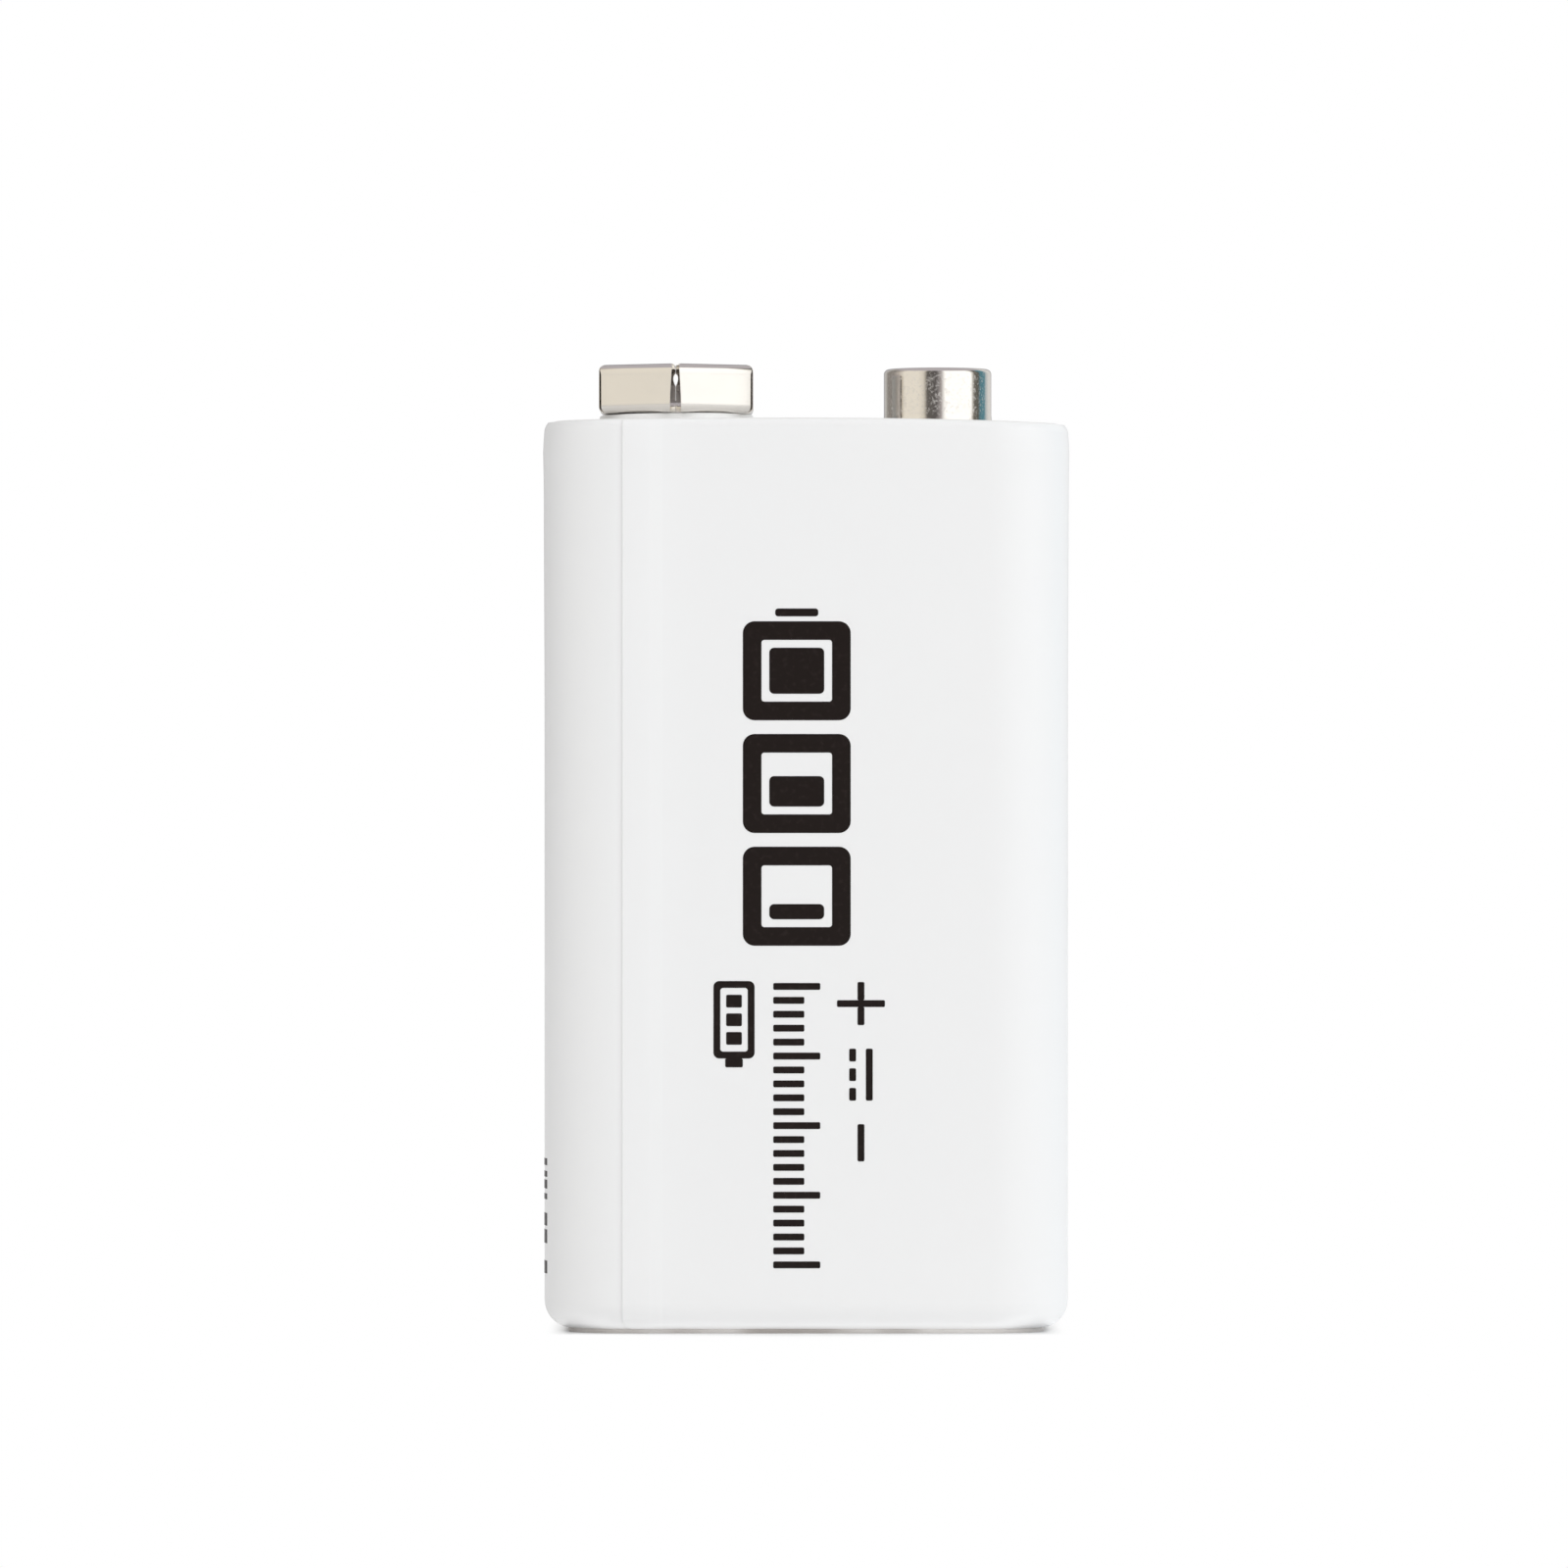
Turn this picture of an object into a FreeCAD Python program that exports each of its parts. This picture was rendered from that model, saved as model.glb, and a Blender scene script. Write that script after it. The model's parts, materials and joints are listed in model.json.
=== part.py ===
import FreeCAD, Part
import math
import os

from FreeCAD import Vector

# A rechargeable nine volt battery: a moulded case and its snap-on cover, wrapped in one
# sheet of label film, with a folded six-petal crown and a drawn stud as its terminals.
# Two pouch cells in series stand inside, under a small protection board.
#
# The frame: millimetres, +Z up, +X towards the stud, -Y towards the plain front.
# The origin is the middle of the foot that the battery stands on.

# Body, over the film
BODY_WIDTH = 25.4
BODY_DEPTH = 16.6
BODY_HEIGHT = 44.2
CORNER_RADIUS = 3.8

# Label film and its lapped seam, on the left of the front
FILM_THICKNESS = 0.12
FILM_EDGE = 0.1
SEAM_MARGIN = 0.05
SEAM_LAP = 1.2
SEAM_RAMP = 0.8
SEAM_CORNER = 0.4

# Case
SHOULDER_RADIUS = 0.5
HEEL_RADIUS = 1.25
FOOT_HEIGHT = 0.25
FOOT_SIDE_INSET = 1.05
FOOT_FRONT_INSET = 0.8
WALL = 1.0
FLOOR = 1.0
RIB_THICKNESS = 0.5
RIB_WIDTH = 2.0
RIB_SPACING = 8.4

# Cover
COVER_RIM = 1.45
COVER_PLATE = 1.0
SPIGOT_WALL = 0.8
SPIGOT_CLEARANCE = 0.05
BOSS_HEIGHT = 0.4
BOSS_TOP_RADIUS = 3.7
BOSS_SLOPE = 0.3

# Terminals
TERMINAL_SPACING = 12.7
SHEET = 0.3

STUD_RADIUS = 2.7
STUD_HEIGHT = 2.65
STUD_FOLD = 0.6
STUD_BEND = 0.16

CROWN_ACROSS_FLATS = 7.6
CROWN_HEIGHT = 2.4
CROWN_FOLD = 0.7
CROWN_BEND = 0.18
CROWN_SLIT = 0.44
CROWN_GRIP = 5.2
CROWN_GRIP_HEIGHT = 1.0
CROWN_LIP_FLARE = 0.2
CROWN_LIP_END = 0.55
PETALS = 6

# Rivets that fix the terminals through the cover
RIVET_RADIUS = 0.9
RIVET_HEAD_RADIUS = 1.35
RIVET_HEAD = 0.4
RIVET_TAIL_RADIUS = 1.35
RIVET_TAIL = 0.35
RIVET_CLEARANCE = 0.05

# Nickel straps from the rivets to the board
STRAP = 0.2
STRAP_WIDTH = 3.4
STRAP_MARGIN = 0.3
STRAP_FOOT = 2.0
STRAP_BEND = 0.25

# Protection board
BOARD = 0.8
BOARD_DROP = 1.8
BOARD_CLEARANCE = 0.12

# Cells
CELL_TAPE = 0.3
CELL_CLEARANCE = 0.15
CELL_FOLD = 0.25
CELL_FOLD_WIDTH = 4.5
TERRACE_HEIGHT = 1.9
TERRACE_THICKNESS = 0.22
TERRACE_INSET = 0.6
SEALANT_THICKNESS = 0.3
SEALANT_HEIGHT = 0.8
SEALANT_BORDER = 0.6

# Cell tabs
TAB = 0.1
TAB_WIDTH = 4.0
TAB_MARGIN = 2.1
TAB_FOOT = 2.8
TAB_BEND = 0.2
TAB_SPACE = 2.85

# Packing
CUSHION = 0.5
CUSHION_INSET = 1.5
TAPE_INSET = 2.0
FOAM_GAP = 0.4
FOAM_WIDTH = 1.4
FOAM_INSET = 1.6
INSULATOR_CLEARANCE = 0.04

# Chips: body length (X), width (Y), height and lead pitch. The leads are as many as fit.
PROTECTION_CHIP = (2.9, 1.6, 1.1, 0.95)
SWITCH_CHIP = (3.0, 3.0, 0.9, 0.65)
CHIP_STANDOFF = 0.1
LEAD = 0.15
LEAD_WIDTH = 0.32
LEAD_REACH = 0.65
LEAD_BEND = 0.12

# Chip resistors, chip capacitors and the resettable fuse: length, width, height
RESISTOR = (1.6, 0.8, 0.45)
CAPACITOR = (1.6, 0.8, 0.8)
FUSE = (4.5, 3.2, 0.8)
END_CAP = 0.3
END_CAP_STEP = 0.04

# How the board's components are laid out: the two chips at the rear, the rest at the front
COMPONENT_GAP = 0.6
REAR_SPLIT = -0.3
FRONT_SPLIT = 1.1
RESISTORS = 3
CAPACITORS = 2

# Small rounds are drawn as flats that stay this close to the true curve
ROUND_TOLERANCE = 0.025

# Two places closer than this are the same place
TOUCH = 1e-6

# Levels and sizes that follow from the values above
CASE_WIDTH = BODY_WIDTH - 2 * FILM_THICKNESS
CASE_DEPTH = BODY_DEPTH - 2 * FILM_THICKNESS
CASE_CORNER = CORNER_RADIUS - FILM_THICKNESS
CAVITY_WIDTH = CASE_WIDTH - 2 * WALL
CAVITY_DEPTH = CASE_DEPTH - 2 * WALL
CAVITY_CORNER = CASE_CORNER - WALL

JOINT_Z = BODY_HEIGHT - COVER_RIM
PLATE_Z = BODY_HEIGHT - COVER_PLATE
BOARD_TOP = PLATE_Z - BOARD_DROP
BOARD_BOTTOM = BOARD_TOP - BOARD
FLOOR_Z = FOOT_HEIGHT + FLOOR

CELL_BOTTOM = FLOOR_Z + CUSHION
CELL_TOP = BOARD_BOTTOM - TAB_SPACE
CELL_WIDTH = CAVITY_WIDTH - 2 * (RIB_THICKNESS + CELL_CLEARANCE)
CELL_DEPTH = (CAVITY_DEPTH - CELL_TAPE) / 2 - CELL_CLEARANCE
CELL_EDGE = CAVITY_CORNER - RIB_THICKNESS - CELL_CLEARANCE - CELL_FOLD
TERRACE_TOP = CELL_TOP + TERRACE_HEIGHT
TERRACE_WIDTH = CELL_WIDTH - 2 * (CELL_FOLD + TERRACE_INSET)
TAB_X = (TERRACE_WIDTH - TAB_WIDTH) / 2 - TAB_MARGIN
TAB_Y = (CELL_TAPE + TERRACE_THICKNESS) / 2

TERMINAL_X = TERMINAL_SPACING / 2
CROWN_SEAT = BODY_HEIGHT + BOSS_HEIGHT
RIVET_HOLE = RIVET_RADIUS + RIVET_CLEARANCE
SPIGOT_INSET = SPIGOT_CLEARANCE + SPIGOT_WALL
STRAP_REACH = CAVITY_WIDTH / 2 - SPIGOT_INSET - STRAP_MARGIN - STRAP / 2 - TERMINAL_X


def rounded_block(width, depth, corner, bottom, top):
    """A block centred on the Z axis, with its upright edges rounded."""
    x = width / 2
    y = depth / 2
    block = Part.makeBox(width, depth, top - bottom, Vector(-x, -y, bottom))
    if corner <= 0:
        return block
    upright = [edge for edge in block.Edges if abs(edge.tangentAt(edge.FirstParameter).z) > 0.5]
    return block.makeFillet(corner, upright)


def box(x_low, x_high, y_low, y_high, z_low, z_high):
    """A plain block between two corners."""
    return Part.makeBox(x_high - x_low, y_high - y_low, z_high - z_low, Vector(x_low, y_low, z_low))


def turned(vector, angle):
    """A vector of the XZ plane, turned from X towards Z."""
    sine, cosine = math.sin(angle), math.cos(angle)
    return Vector(vector.x * cosine - vector.z * sine, 0, vector.x * sine + vector.z * cosine)


def flat_count(radius, turn=math.pi / 2):
    """How many flats stand in for a round of that radius, by default for a quarter turn."""
    if radius <= ROUND_TOLERANCE:
        return 1
    return math.ceil(turn / (2 * math.acos(1 - ROUND_TOLERANCE / radius)))


def bent_strip(corners, bends, thickness):
    """The face of a bent sheet seen edge on, in the XZ plane.

    The middle of the sheet runs from corner to corner, and turns each inner corner with its
    own bend radius.
    """
    points = [Vector(x, 0, z) for x, z in corners]
    runs = [(b - a).normalize() for a, b in zip(points, points[1:])]
    normals = [Vector(-run.z, 0, run.x) for run in runs]
    sides = []
    for half in (thickness / 2, -thickness / 2):
        side = [points[0] + normals[0] * half]
        for i, bend in enumerate(bends):
            cross = runs[i].x * runs[i + 1].z - runs[i].z * runs[i + 1].x
            turn = math.atan2(cross, runs[i].dot(runs[i + 1]))
            tangent = points[i + 1] - runs[i] * (bend * math.tan(abs(turn) / 2))
            centre = tangent + normals[i] * math.copysign(bend, turn)
            arm = tangent + normals[i] * half - centre
            count = flat_count(arm.Length, abs(turn))
            side += [centre + turned(arm, turn * n / count) for n in range(count + 1)]
        side.append(points[-1] + normals[-1] * half)
        sides.append(side)
    outline = sides[0] + sides[1][::-1]
    kept = [point for i, point in enumerate(outline) if (point - outline[i - 1]).Length > TOUCH]
    return Part.Face(Part.makePolygon(kept + kept[:1]))


def level_outline(inset, level, grow):
    """The case's rounded outline at one height, drawn in from its widest by an inset."""
    out = grow - inset
    width = CASE_WIDTH + 2 * out
    depth = CASE_DEPTH + 2 * out
    block = rounded_block(width, depth, CASE_CORNER + out, level, level + BODY_HEIGHT)
    return [face for face in block.Faces if abs(face.BoundBox.ZMax - level) < TOUCH][0].OuterWire


def body_block(grow):
    """The outer form of the closed case, grown by a skin on its sides, shoulders and heels.

    It is lofted from level outlines, round the heels and then round the shoulders.
    """
    heel = HEEL_RADIUS + grow
    shoulder = SHOULDER_RADIUS + grow
    outlines = []
    count = flat_count(HEEL_RADIUS)
    for n in range(count + 1):
        angle = math.pi / 2 * n / count
        level = FOOT_HEIGHT + HEEL_RADIUS - heel * math.cos(angle)
        outlines.append(level_outline(heel * (1 - math.sin(angle)), level, grow))
    count = flat_count(SHOULDER_RADIUS)
    for n in range(count + 1):
        angle = math.pi / 2 * n / count
        level = BODY_HEIGHT - SHOULDER_RADIUS + shoulder * math.sin(angle)
        outlines.append(level_outline(shoulder * (1 - math.cos(angle)), level, grow))
    return Part.makeLoft(outlines, True, True)


def film_window(x_low, corner):
    """What a sheet covers from one upright edge to the right, with that edge's lower corner rounded."""
    low = FOOT_HEIGHT + FILM_EDGE
    window = box(x_low, BODY_WIDTH, -BODY_DEPTH, 0, low, BODY_HEIGHT - FILM_EDGE)
    across = [edge for edge in window.Edges if abs(edge.tangentAt(edge.FirstParameter).y) > 0.5]
    left = [edge for edge in across if edge.BoundBox.XMax < x_low + TOUCH]
    return window.makeFillet(corner, [edge for edge in left if edge.BoundBox.ZMax < low + TOUCH])


def label_film():
    """One sheet round the body. Its outer end laps over its inner end and is glued there."""
    layers = [body_block(FILM_THICKNESS * n) for n in range(3)]
    low = FOOT_HEIGHT + FILM_EDGE
    high = BODY_HEIGHT - FILM_EDGE
    between = box(-BODY_WIDTH, BODY_WIDTH, -BODY_DEPTH, BODY_DEPTH, low, high)
    sheet = layers[1].cut(layers[0]).common(between)
    seam = -BODY_WIDTH / 2 + CORNER_RADIUS + SEAM_MARGIN
    front = -BODY_DEPTH / 2
    outer = front - 2 * FILM_THICKNESS
    lap_end = seam + SEAM_LAP
    plan = [
        Vector(seam, front + CORNER_RADIUS, 0),
        Vector(seam, outer, 0),
        Vector(lap_end, outer, 0),
        Vector(lap_end, front - FILM_THICKNESS, 0),
        Vector(lap_end + SEAM_RAMP, front, 0),
        Vector(lap_end + SEAM_RAMP, front + CORNER_RADIUS, 0),
    ]
    prism = Part.Face(Part.makePolygon(plan + plan[:1])).extrude(Vector(0, 0, BODY_HEIGHT))
    lap = layers[2].cut(layers[1]).common(prism).common(film_window(seam, SEAM_CORNER))
    return sheet.fuse(lap).removeSplitter()


def case_shell():
    """The moulded box: walls, floor, the foot it stands on and the ribs that carry the board."""
    lower = box(-BODY_WIDTH, BODY_WIDTH, -BODY_DEPTH, BODY_DEPTH, 0, JOINT_Z)
    shell = body_block(0).common(lower)
    shell = shell.cut(rounded_block(CAVITY_WIDTH, CAVITY_DEPTH, CAVITY_CORNER, FLOOR_Z, BODY_HEIGHT))
    foot_width = CASE_WIDTH - 2 * FOOT_SIDE_INSET
    foot_depth = CASE_DEPTH - 2 * FOOT_FRONT_INSET
    foot = rounded_block(foot_width, foot_depth, CASE_CORNER - FOOT_SIDE_INSET, 0, FLOOR_Z)
    ribs = []
    for side in (-1, 1):
        for y in (-RIB_SPACING / 2, RIB_SPACING / 2):
            x = side * CAVITY_WIDTH / 2
            x_low, x_high = sorted((x - side * RIB_THICKNESS, x + side * WALL / 2))
            y_low = y - RIB_WIDTH / 2
            ribs.append(box(x_low, x_high, y_low, y_low + RIB_WIDTH, FLOOR_Z - FLOOR / 2, BOARD_BOTTOM))
    return shell.fuse([foot] + ribs).removeSplitter()


def top_cover():
    """The moulded cap: plate and rim, the spigot that plugs the case and the seat of the crown."""
    upper = box(-BODY_WIDTH, BODY_WIDTH, -BODY_DEPTH, BODY_DEPTH, JOINT_Z, BODY_HEIGHT)
    cap = body_block(0).common(upper)
    gap = SPIGOT_CLEARANCE
    spigot = rounded_block(
        CAVITY_WIDTH - 2 * gap, CAVITY_DEPTH - 2 * gap, CAVITY_CORNER - gap, BOARD_TOP + gap, PLATE_Z
    )
    gap = SPIGOT_INSET
    hollow = rounded_block(
        CAVITY_WIDTH - 2 * gap, CAVITY_DEPTH - 2 * gap, CAVITY_CORNER - gap, BOARD_TOP, PLATE_Z
    )
    boss = Part.makeCone(
        BOSS_TOP_RADIUS + BOSS_SLOPE, BOSS_TOP_RADIUS, BOSS_HEIGHT, Vector(-TERMINAL_X, 0, BODY_HEIGHT)
    )
    cap = cap.fuse([spigot, boss]).cut(hollow)
    for x in (-TERMINAL_X, TERMINAL_X):
        cap = cap.cut(Part.makeCylinder(RIVET_HOLE, BODY_HEIGHT, Vector(x, 0, JOINT_Z)))
    return cap.removeSplitter()


def negative_crown():
    """Six petals folded up from one sheet, rolled inwards at the top and down again as springs."""
    wall = (CROWN_ACROSS_FLATS - SHEET) / 2
    lip = wall - CROWN_FOLD
    grip = (CROWN_GRIP + SHEET) / 2
    plate_radius = wall - CROWN_BEND
    corners = [
        (plate_radius - SHEET, SHEET / 2),
        (wall, SHEET / 2),
        (wall, CROWN_HEIGHT - SHEET / 2),
        (lip, CROWN_HEIGHT - SHEET / 2),
        (grip, CROWN_GRIP_HEIGHT),
        (grip + CROWN_LIP_FLARE, CROWN_LIP_END),
    ]
    profile = bent_strip(corners, [CROWN_BEND] * 4, SHEET)
    profile.translate(Vector(0, -CROWN_ACROSS_FLATS / 2, 0))
    folded = profile.extrude(Vector(0, CROWN_ACROSS_FLATS, 0))
    half_angle = math.pi / PETALS
    apex = CROWN_SLIT / 2 / math.sin(half_angle)
    reach = CROWN_ACROSS_FLATS
    side = reach * math.tan(half_angle)
    plan = [Vector(apex, 0, 0), Vector(apex + reach, side, 0), Vector(apex + reach, -side, 0)]
    wedge = Part.Face(Part.makePolygon(plan + plan[:1])).extrude(Vector(0, 0, CROWN_HEIGHT))
    petal = folded.common(wedge)
    petals = []
    for n in range(PETALS):
        one = petal.copy()
        one.rotate(Vector(), Vector(0, 0, 1), n * 360 / PETALS)
        petals.append(one)
    plate = Part.makeCylinder(plate_radius, SHEET)
    crown = plate.fuse(petals).cut(Part.makeCylinder(RIVET_HOLE, SHEET)).removeSplitter()
    crown.translate(Vector(-TERMINAL_X, 0, CROWN_SEAT))
    return crown


def positive_stud():
    """One sheet drawn into a hollow post: a round skirt rolled over into an inner wall and seat."""
    skirt = STUD_RADIUS - SHEET / 2
    inner = skirt - STUD_FOLD
    corners = [
        (skirt, 0),
        (skirt, STUD_HEIGHT - SHEET / 2),
        (inner, STUD_HEIGHT - SHEET / 2),
        (inner, SHEET / 2),
        (RIVET_HOLE, SHEET / 2),
    ]
    profile = bent_strip(corners, [STUD_BEND] * 3, SHEET)
    stud = profile.revolve(Vector(), Vector(0, 0, 1), 360)
    stud.translate(Vector(TERMINAL_X, 0, BODY_HEIGHT))
    return stud


def rivet(x, seat):
    """A rivet: domed head on the terminal's seat, shank, and a tail upset under the strap."""
    tail_top = PLATE_Z - STRAP
    tail_bottom = tail_top - RIVET_TAIL
    path = [(0, tail_bottom)]
    count = flat_count(RIVET_HEAD)
    for n in range(count + 1):
        angle = math.pi / 2 * n / count
        path.append((RIVET_HEAD_RADIUS * math.sin(angle), seat + RIVET_HEAD * math.cos(angle)))
    path += [
        (RIVET_RADIUS, seat),
        (RIVET_RADIUS, tail_top),
        (RIVET_TAIL_RADIUS, tail_top),
        (RIVET_TAIL_RADIUS, tail_bottom),
        (0, tail_bottom),
    ]
    profile = Part.Face(Part.makePolygon([Vector(radius, 0, z) for radius, z in path]))
    shape = profile.revolve(Vector(), Vector(0, 0, 1), 360)
    shape.translate(Vector(x, 0, 0))
    return shape


def strap(side):
    """A nickel strip clamped under a rivet, bent down outside it and soldered to the board."""
    upper = PLATE_Z - STRAP / 2
    lower = BOARD_TOP + STRAP / 2
    corners = [
        (-STRAP_WIDTH / 2, upper),
        (STRAP_REACH, upper),
        (STRAP_REACH, lower),
        (STRAP_REACH - STRAP_FOOT, lower),
    ]
    profile = bent_strip(corners, [STRAP_BEND, STRAP_BEND], STRAP)
    profile.translate(Vector(0, -STRAP_WIDTH / 2, 0))
    strip = profile.extrude(Vector(0, STRAP_WIDTH, 0))
    strip = strip.cut(Part.makeCylinder(RIVET_HOLE, STRAP, Vector(0, 0, PLATE_Z - STRAP)))
    if side < 0:
        strip.rotate(Vector(), Vector(0, 0, 1), 180)
    strip.translate(Vector(side * TERMINAL_X, 0, 0))
    return strip


def protection_board():
    """The board lies on the ribs of the case, and the spigot of the cover keeps it down."""
    width = CAVITY_WIDTH - 2 * BOARD_CLEARANCE
    depth = CAVITY_DEPTH - 2 * BOARD_CLEARANCE
    return rounded_block(width, depth, CAVITY_CORNER - BOARD_CLEARANCE, BOARD_BOTTOM, BOARD_TOP)


def chip(sizes, place):
    """A small chip: moulded body with a row of bent leads along each long side."""
    length, width, height, pitch = sizes
    leads = math.floor(length / pitch)
    x, y = place
    bottom = BOARD_TOP + CHIP_STANDOFF
    top = BOARD_TOP + height
    middle = (bottom + top) / 2
    body = box(-length / 2, length / 2, -width / 2, width / 2, bottom, top)
    corners = [
        (width / 2 - LEAD, middle),
        (width / 2 + LEAD_REACH / 2, middle),
        (width / 2 + LEAD_REACH / 2, BOARD_TOP + LEAD / 2),
        (width / 2 + LEAD_REACH, BOARD_TOP + LEAD / 2),
    ]
    profile = bent_strip(corners, [LEAD_BEND, LEAD_BEND], LEAD)
    profile.translate(Vector(0, -LEAD_WIDTH / 2, 0))
    lead = profile.extrude(Vector(0, LEAD_WIDTH, 0))
    pieces = []
    for turn in (90, -90):
        for n in range(leads):
            one = lead.copy()
            one.rotate(Vector(), Vector(0, 0, 1), turn)
            one.translate(Vector((n - (leads - 1) / 2) * pitch, 0, 0))
            pieces.append(one)
    whole = body.fuse(pieces).removeSplitter()
    whole.translate(Vector(x, y, 0))
    return whole


def end_capped(sizes, place):
    """A surface-mounted block, such as a chip resistor, with a metal cap over each end."""
    length, width, height = sizes
    x, y = place
    step = END_CAP_STEP
    inner = box(-length / 2, length / 2, -width / 2 + step, width / 2 - step, step, height - step)
    caps = []
    for low, high in ((-length / 2, -length / 2 + END_CAP), (length / 2 - END_CAP, length / 2)):
        caps.append(box(low, high, -width / 2, width / 2, 0, height))
    block = inner.fuse(caps).removeSplitter()
    block.translate(Vector(x, y, BOARD_TOP))
    return block


def pouch_cell(side):
    """A pouch cell: formed cup, folded side seams, and the flat sealed terrace that its tabs leave."""
    flat = CELL_TAPE / 2
    cup = flat + CELL_DEPTH
    half = CELL_WIDTH / 2 - CELL_FOLD
    low = CELL_BOTTOM + CELL_EDGE
    high = CELL_TOP - CELL_EDGE
    body = box(-half, half, flat, cup, CELL_BOTTOM, CELL_TOP)
    body = body.makeFillet(CELL_EDGE, [edge for edge in body.Edges if edge.BoundBox.YMin > cup - TOUCH])
    folds = []
    for x in (-1, 1):
        x_low, x_high = sorted((x * (half - CELL_EDGE), x * CELL_WIDTH / 2))
        folds.append(box(x_low, x_high, flat, flat + CELL_FOLD_WIDTH, low, high))
    edge = TERRACE_WIDTH / 2
    terrace = box(-edge, edge, flat, flat + TERRACE_THICKNESS, high, TERRACE_TOP)
    patches = []
    for x in (-TAB_X, TAB_X):
        reach = TAB_WIDTH / 2 + SEALANT_BORDER
        patch_bottom = TERRACE_TOP - SEALANT_HEIGHT
        patches.append(box(x - reach, x + reach, flat, flat + SEALANT_THICKNESS, patch_bottom, TERRACE_TOP))
    cell = body.fuse(folds + [terrace] + patches).removeSplitter()
    if side < 0:
        cell.rotate(Vector(), Vector(0, 0, 1), 180)
    return cell


def cell_tab(side, x):
    """A tab that leaves the terrace and is bent flat against the underside of the board."""
    level = BOARD_BOTTOM - TAB / 2
    corners = [(TAB_Y, TERRACE_TOP), (TAB_Y, level), (TAB_Y + TAB_FOOT, level)]
    profile = bent_strip(corners, [TAB_BEND], TAB)
    profile.translate(Vector(0, -TAB_WIDTH / 2, 0))
    tab = profile.extrude(Vector(0, TAB_WIDTH, 0))
    tab.rotate(Vector(), Vector(0, 0, 1), 90 * side)
    tab.translate(Vector(x, 0, 0))
    return tab


def cell_adhesive():
    """The double-sided sheet that holds the two cells together."""
    half = CELL_WIDTH / 2 - TAPE_INSET
    return box(-half, half, -CELL_TAPE / 2, CELL_TAPE / 2, CELL_BOTTOM + TAPE_INSET, CELL_TOP - TAPE_INSET)


def tab_insulator():
    """A stiff card that keeps the tabs of the two cells apart."""
    half = TERRACE_WIDTH / 2
    side = CELL_TAPE / 2 - INSULATOR_CLEARANCE
    return box(-half, half, -side, side, CELL_TOP - TAPE_INSET, BOARD_BOTTOM)


def foam_strip(side):
    """A foam strip on the shoulder of a cell, under the board."""
    inner = TAB_Y + TAB_FOOT + FOAM_GAP
    y_low, y_high = sorted((side * inner, side * (inner + FOAM_WIDTH)))
    half = CELL_WIDTH / 2 - FOAM_INSET
    return box(-half, half, y_low, y_high, CELL_TOP, BOARD_BOTTOM)


def bottom_cushion():
    """The foam sheet that the cells stand on."""
    half_width = CELL_WIDTH / 2 - CUSHION_INSET
    half_depth = CELL_TAPE / 2 + CELL_DEPTH - CUSHION_INSET
    return box(-half_width, half_width, -half_depth, half_depth, FLOOR_Z, CELL_BOTTOM)


def board_components():
    """What is soldered on top of the board: two chips in the rear row, and in front of them the
    resistors, the capacitors and the resettable fuse."""
    gap = COMPONENT_GAP
    pieces = {}
    for name, sizes, side in (("protection_chip", PROTECTION_CHIP, -1), ("switch_chip", SWITCH_CHIP, 1)):
        length, width = sizes[:2]
        pieces[name] = chip(sizes, (REAR_SPLIT + side * (gap + length) / 2, LEAD_REACH + (gap + width) / 2))
    pieces["resettable_fuse"] = end_capped(FUSE, (FRONT_SPLIT + (gap + FUSE[0]) / 2, -(gap + FUSE[1]) / 2))
    row = -gap / 2
    for name, sizes, count in (("resistor", RESISTOR, RESISTORS), ("capacitor", CAPACITOR, CAPACITORS)):
        length, width = sizes[:2]
        for n in range(count):
            x = FRONT_SPLIT - gap / 2 - length / 2 - (count - 1 - n) * (length + gap)
            pieces[f"{name}_{n + 1}"] = end_capped(sizes, (x, row - width / 2))
        row -= width + gap
    return pieces


def build():
    """Every piece of the battery, by the name of its node."""
    pieces = {
        "label_film": label_film(),
        "case_shell": case_shell(),
        "top_cover": top_cover(),
        "negative_crown": negative_crown(),
        "positive_stud": positive_stud(),
        "negative_rivet": rivet(-TERMINAL_X, CROWN_SEAT + SHEET),
        "positive_rivet": rivet(TERMINAL_X, BODY_HEIGHT + SHEET),
        "negative_strap": strap(-1),
        "positive_strap": strap(1),
        "protection_board": protection_board(),
        "front_cell": pouch_cell(-1),
        "rear_cell": pouch_cell(1),
        "front_positive_tab": cell_tab(-1, TAB_X),
        "front_negative_tab": cell_tab(-1, -TAB_X),
        "rear_positive_tab": cell_tab(1, -TAB_X),
        "rear_negative_tab": cell_tab(1, TAB_X),
        "cell_adhesive": cell_adhesive(),
        "tab_insulator": tab_insulator(),
        "front_foam_strip": foam_strip(-1),
        "rear_foam_strip": foam_strip(1),
        "bottom_cushion": bottom_cushion(),
    }
    pieces.update(board_components())
    return pieces


def main():
    os.makedirs("parts", exist_ok=True)
    for name, shape in build().items():
        print(f"{name:20s} solids {len(shape.Solids)}  volume {shape.Volume:9.3f}  valid {shape.isValid()}")
        shape.exportStep(f"parts/{name}.step")


main()
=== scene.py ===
# %% [markdown]
# This lesson dresses a rechargeable nine volt battery. Its solids come from CAD, packed as a
# fixed frame, and already have every size. Blender adds the smooth film and metal, the print,
# the finishes, the light and the camera, all in metres and in the frame's own place.

# %% Load the frame
import json
import math

import bmesh
import bpy
from mathutils import Matrix, Vector

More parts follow.
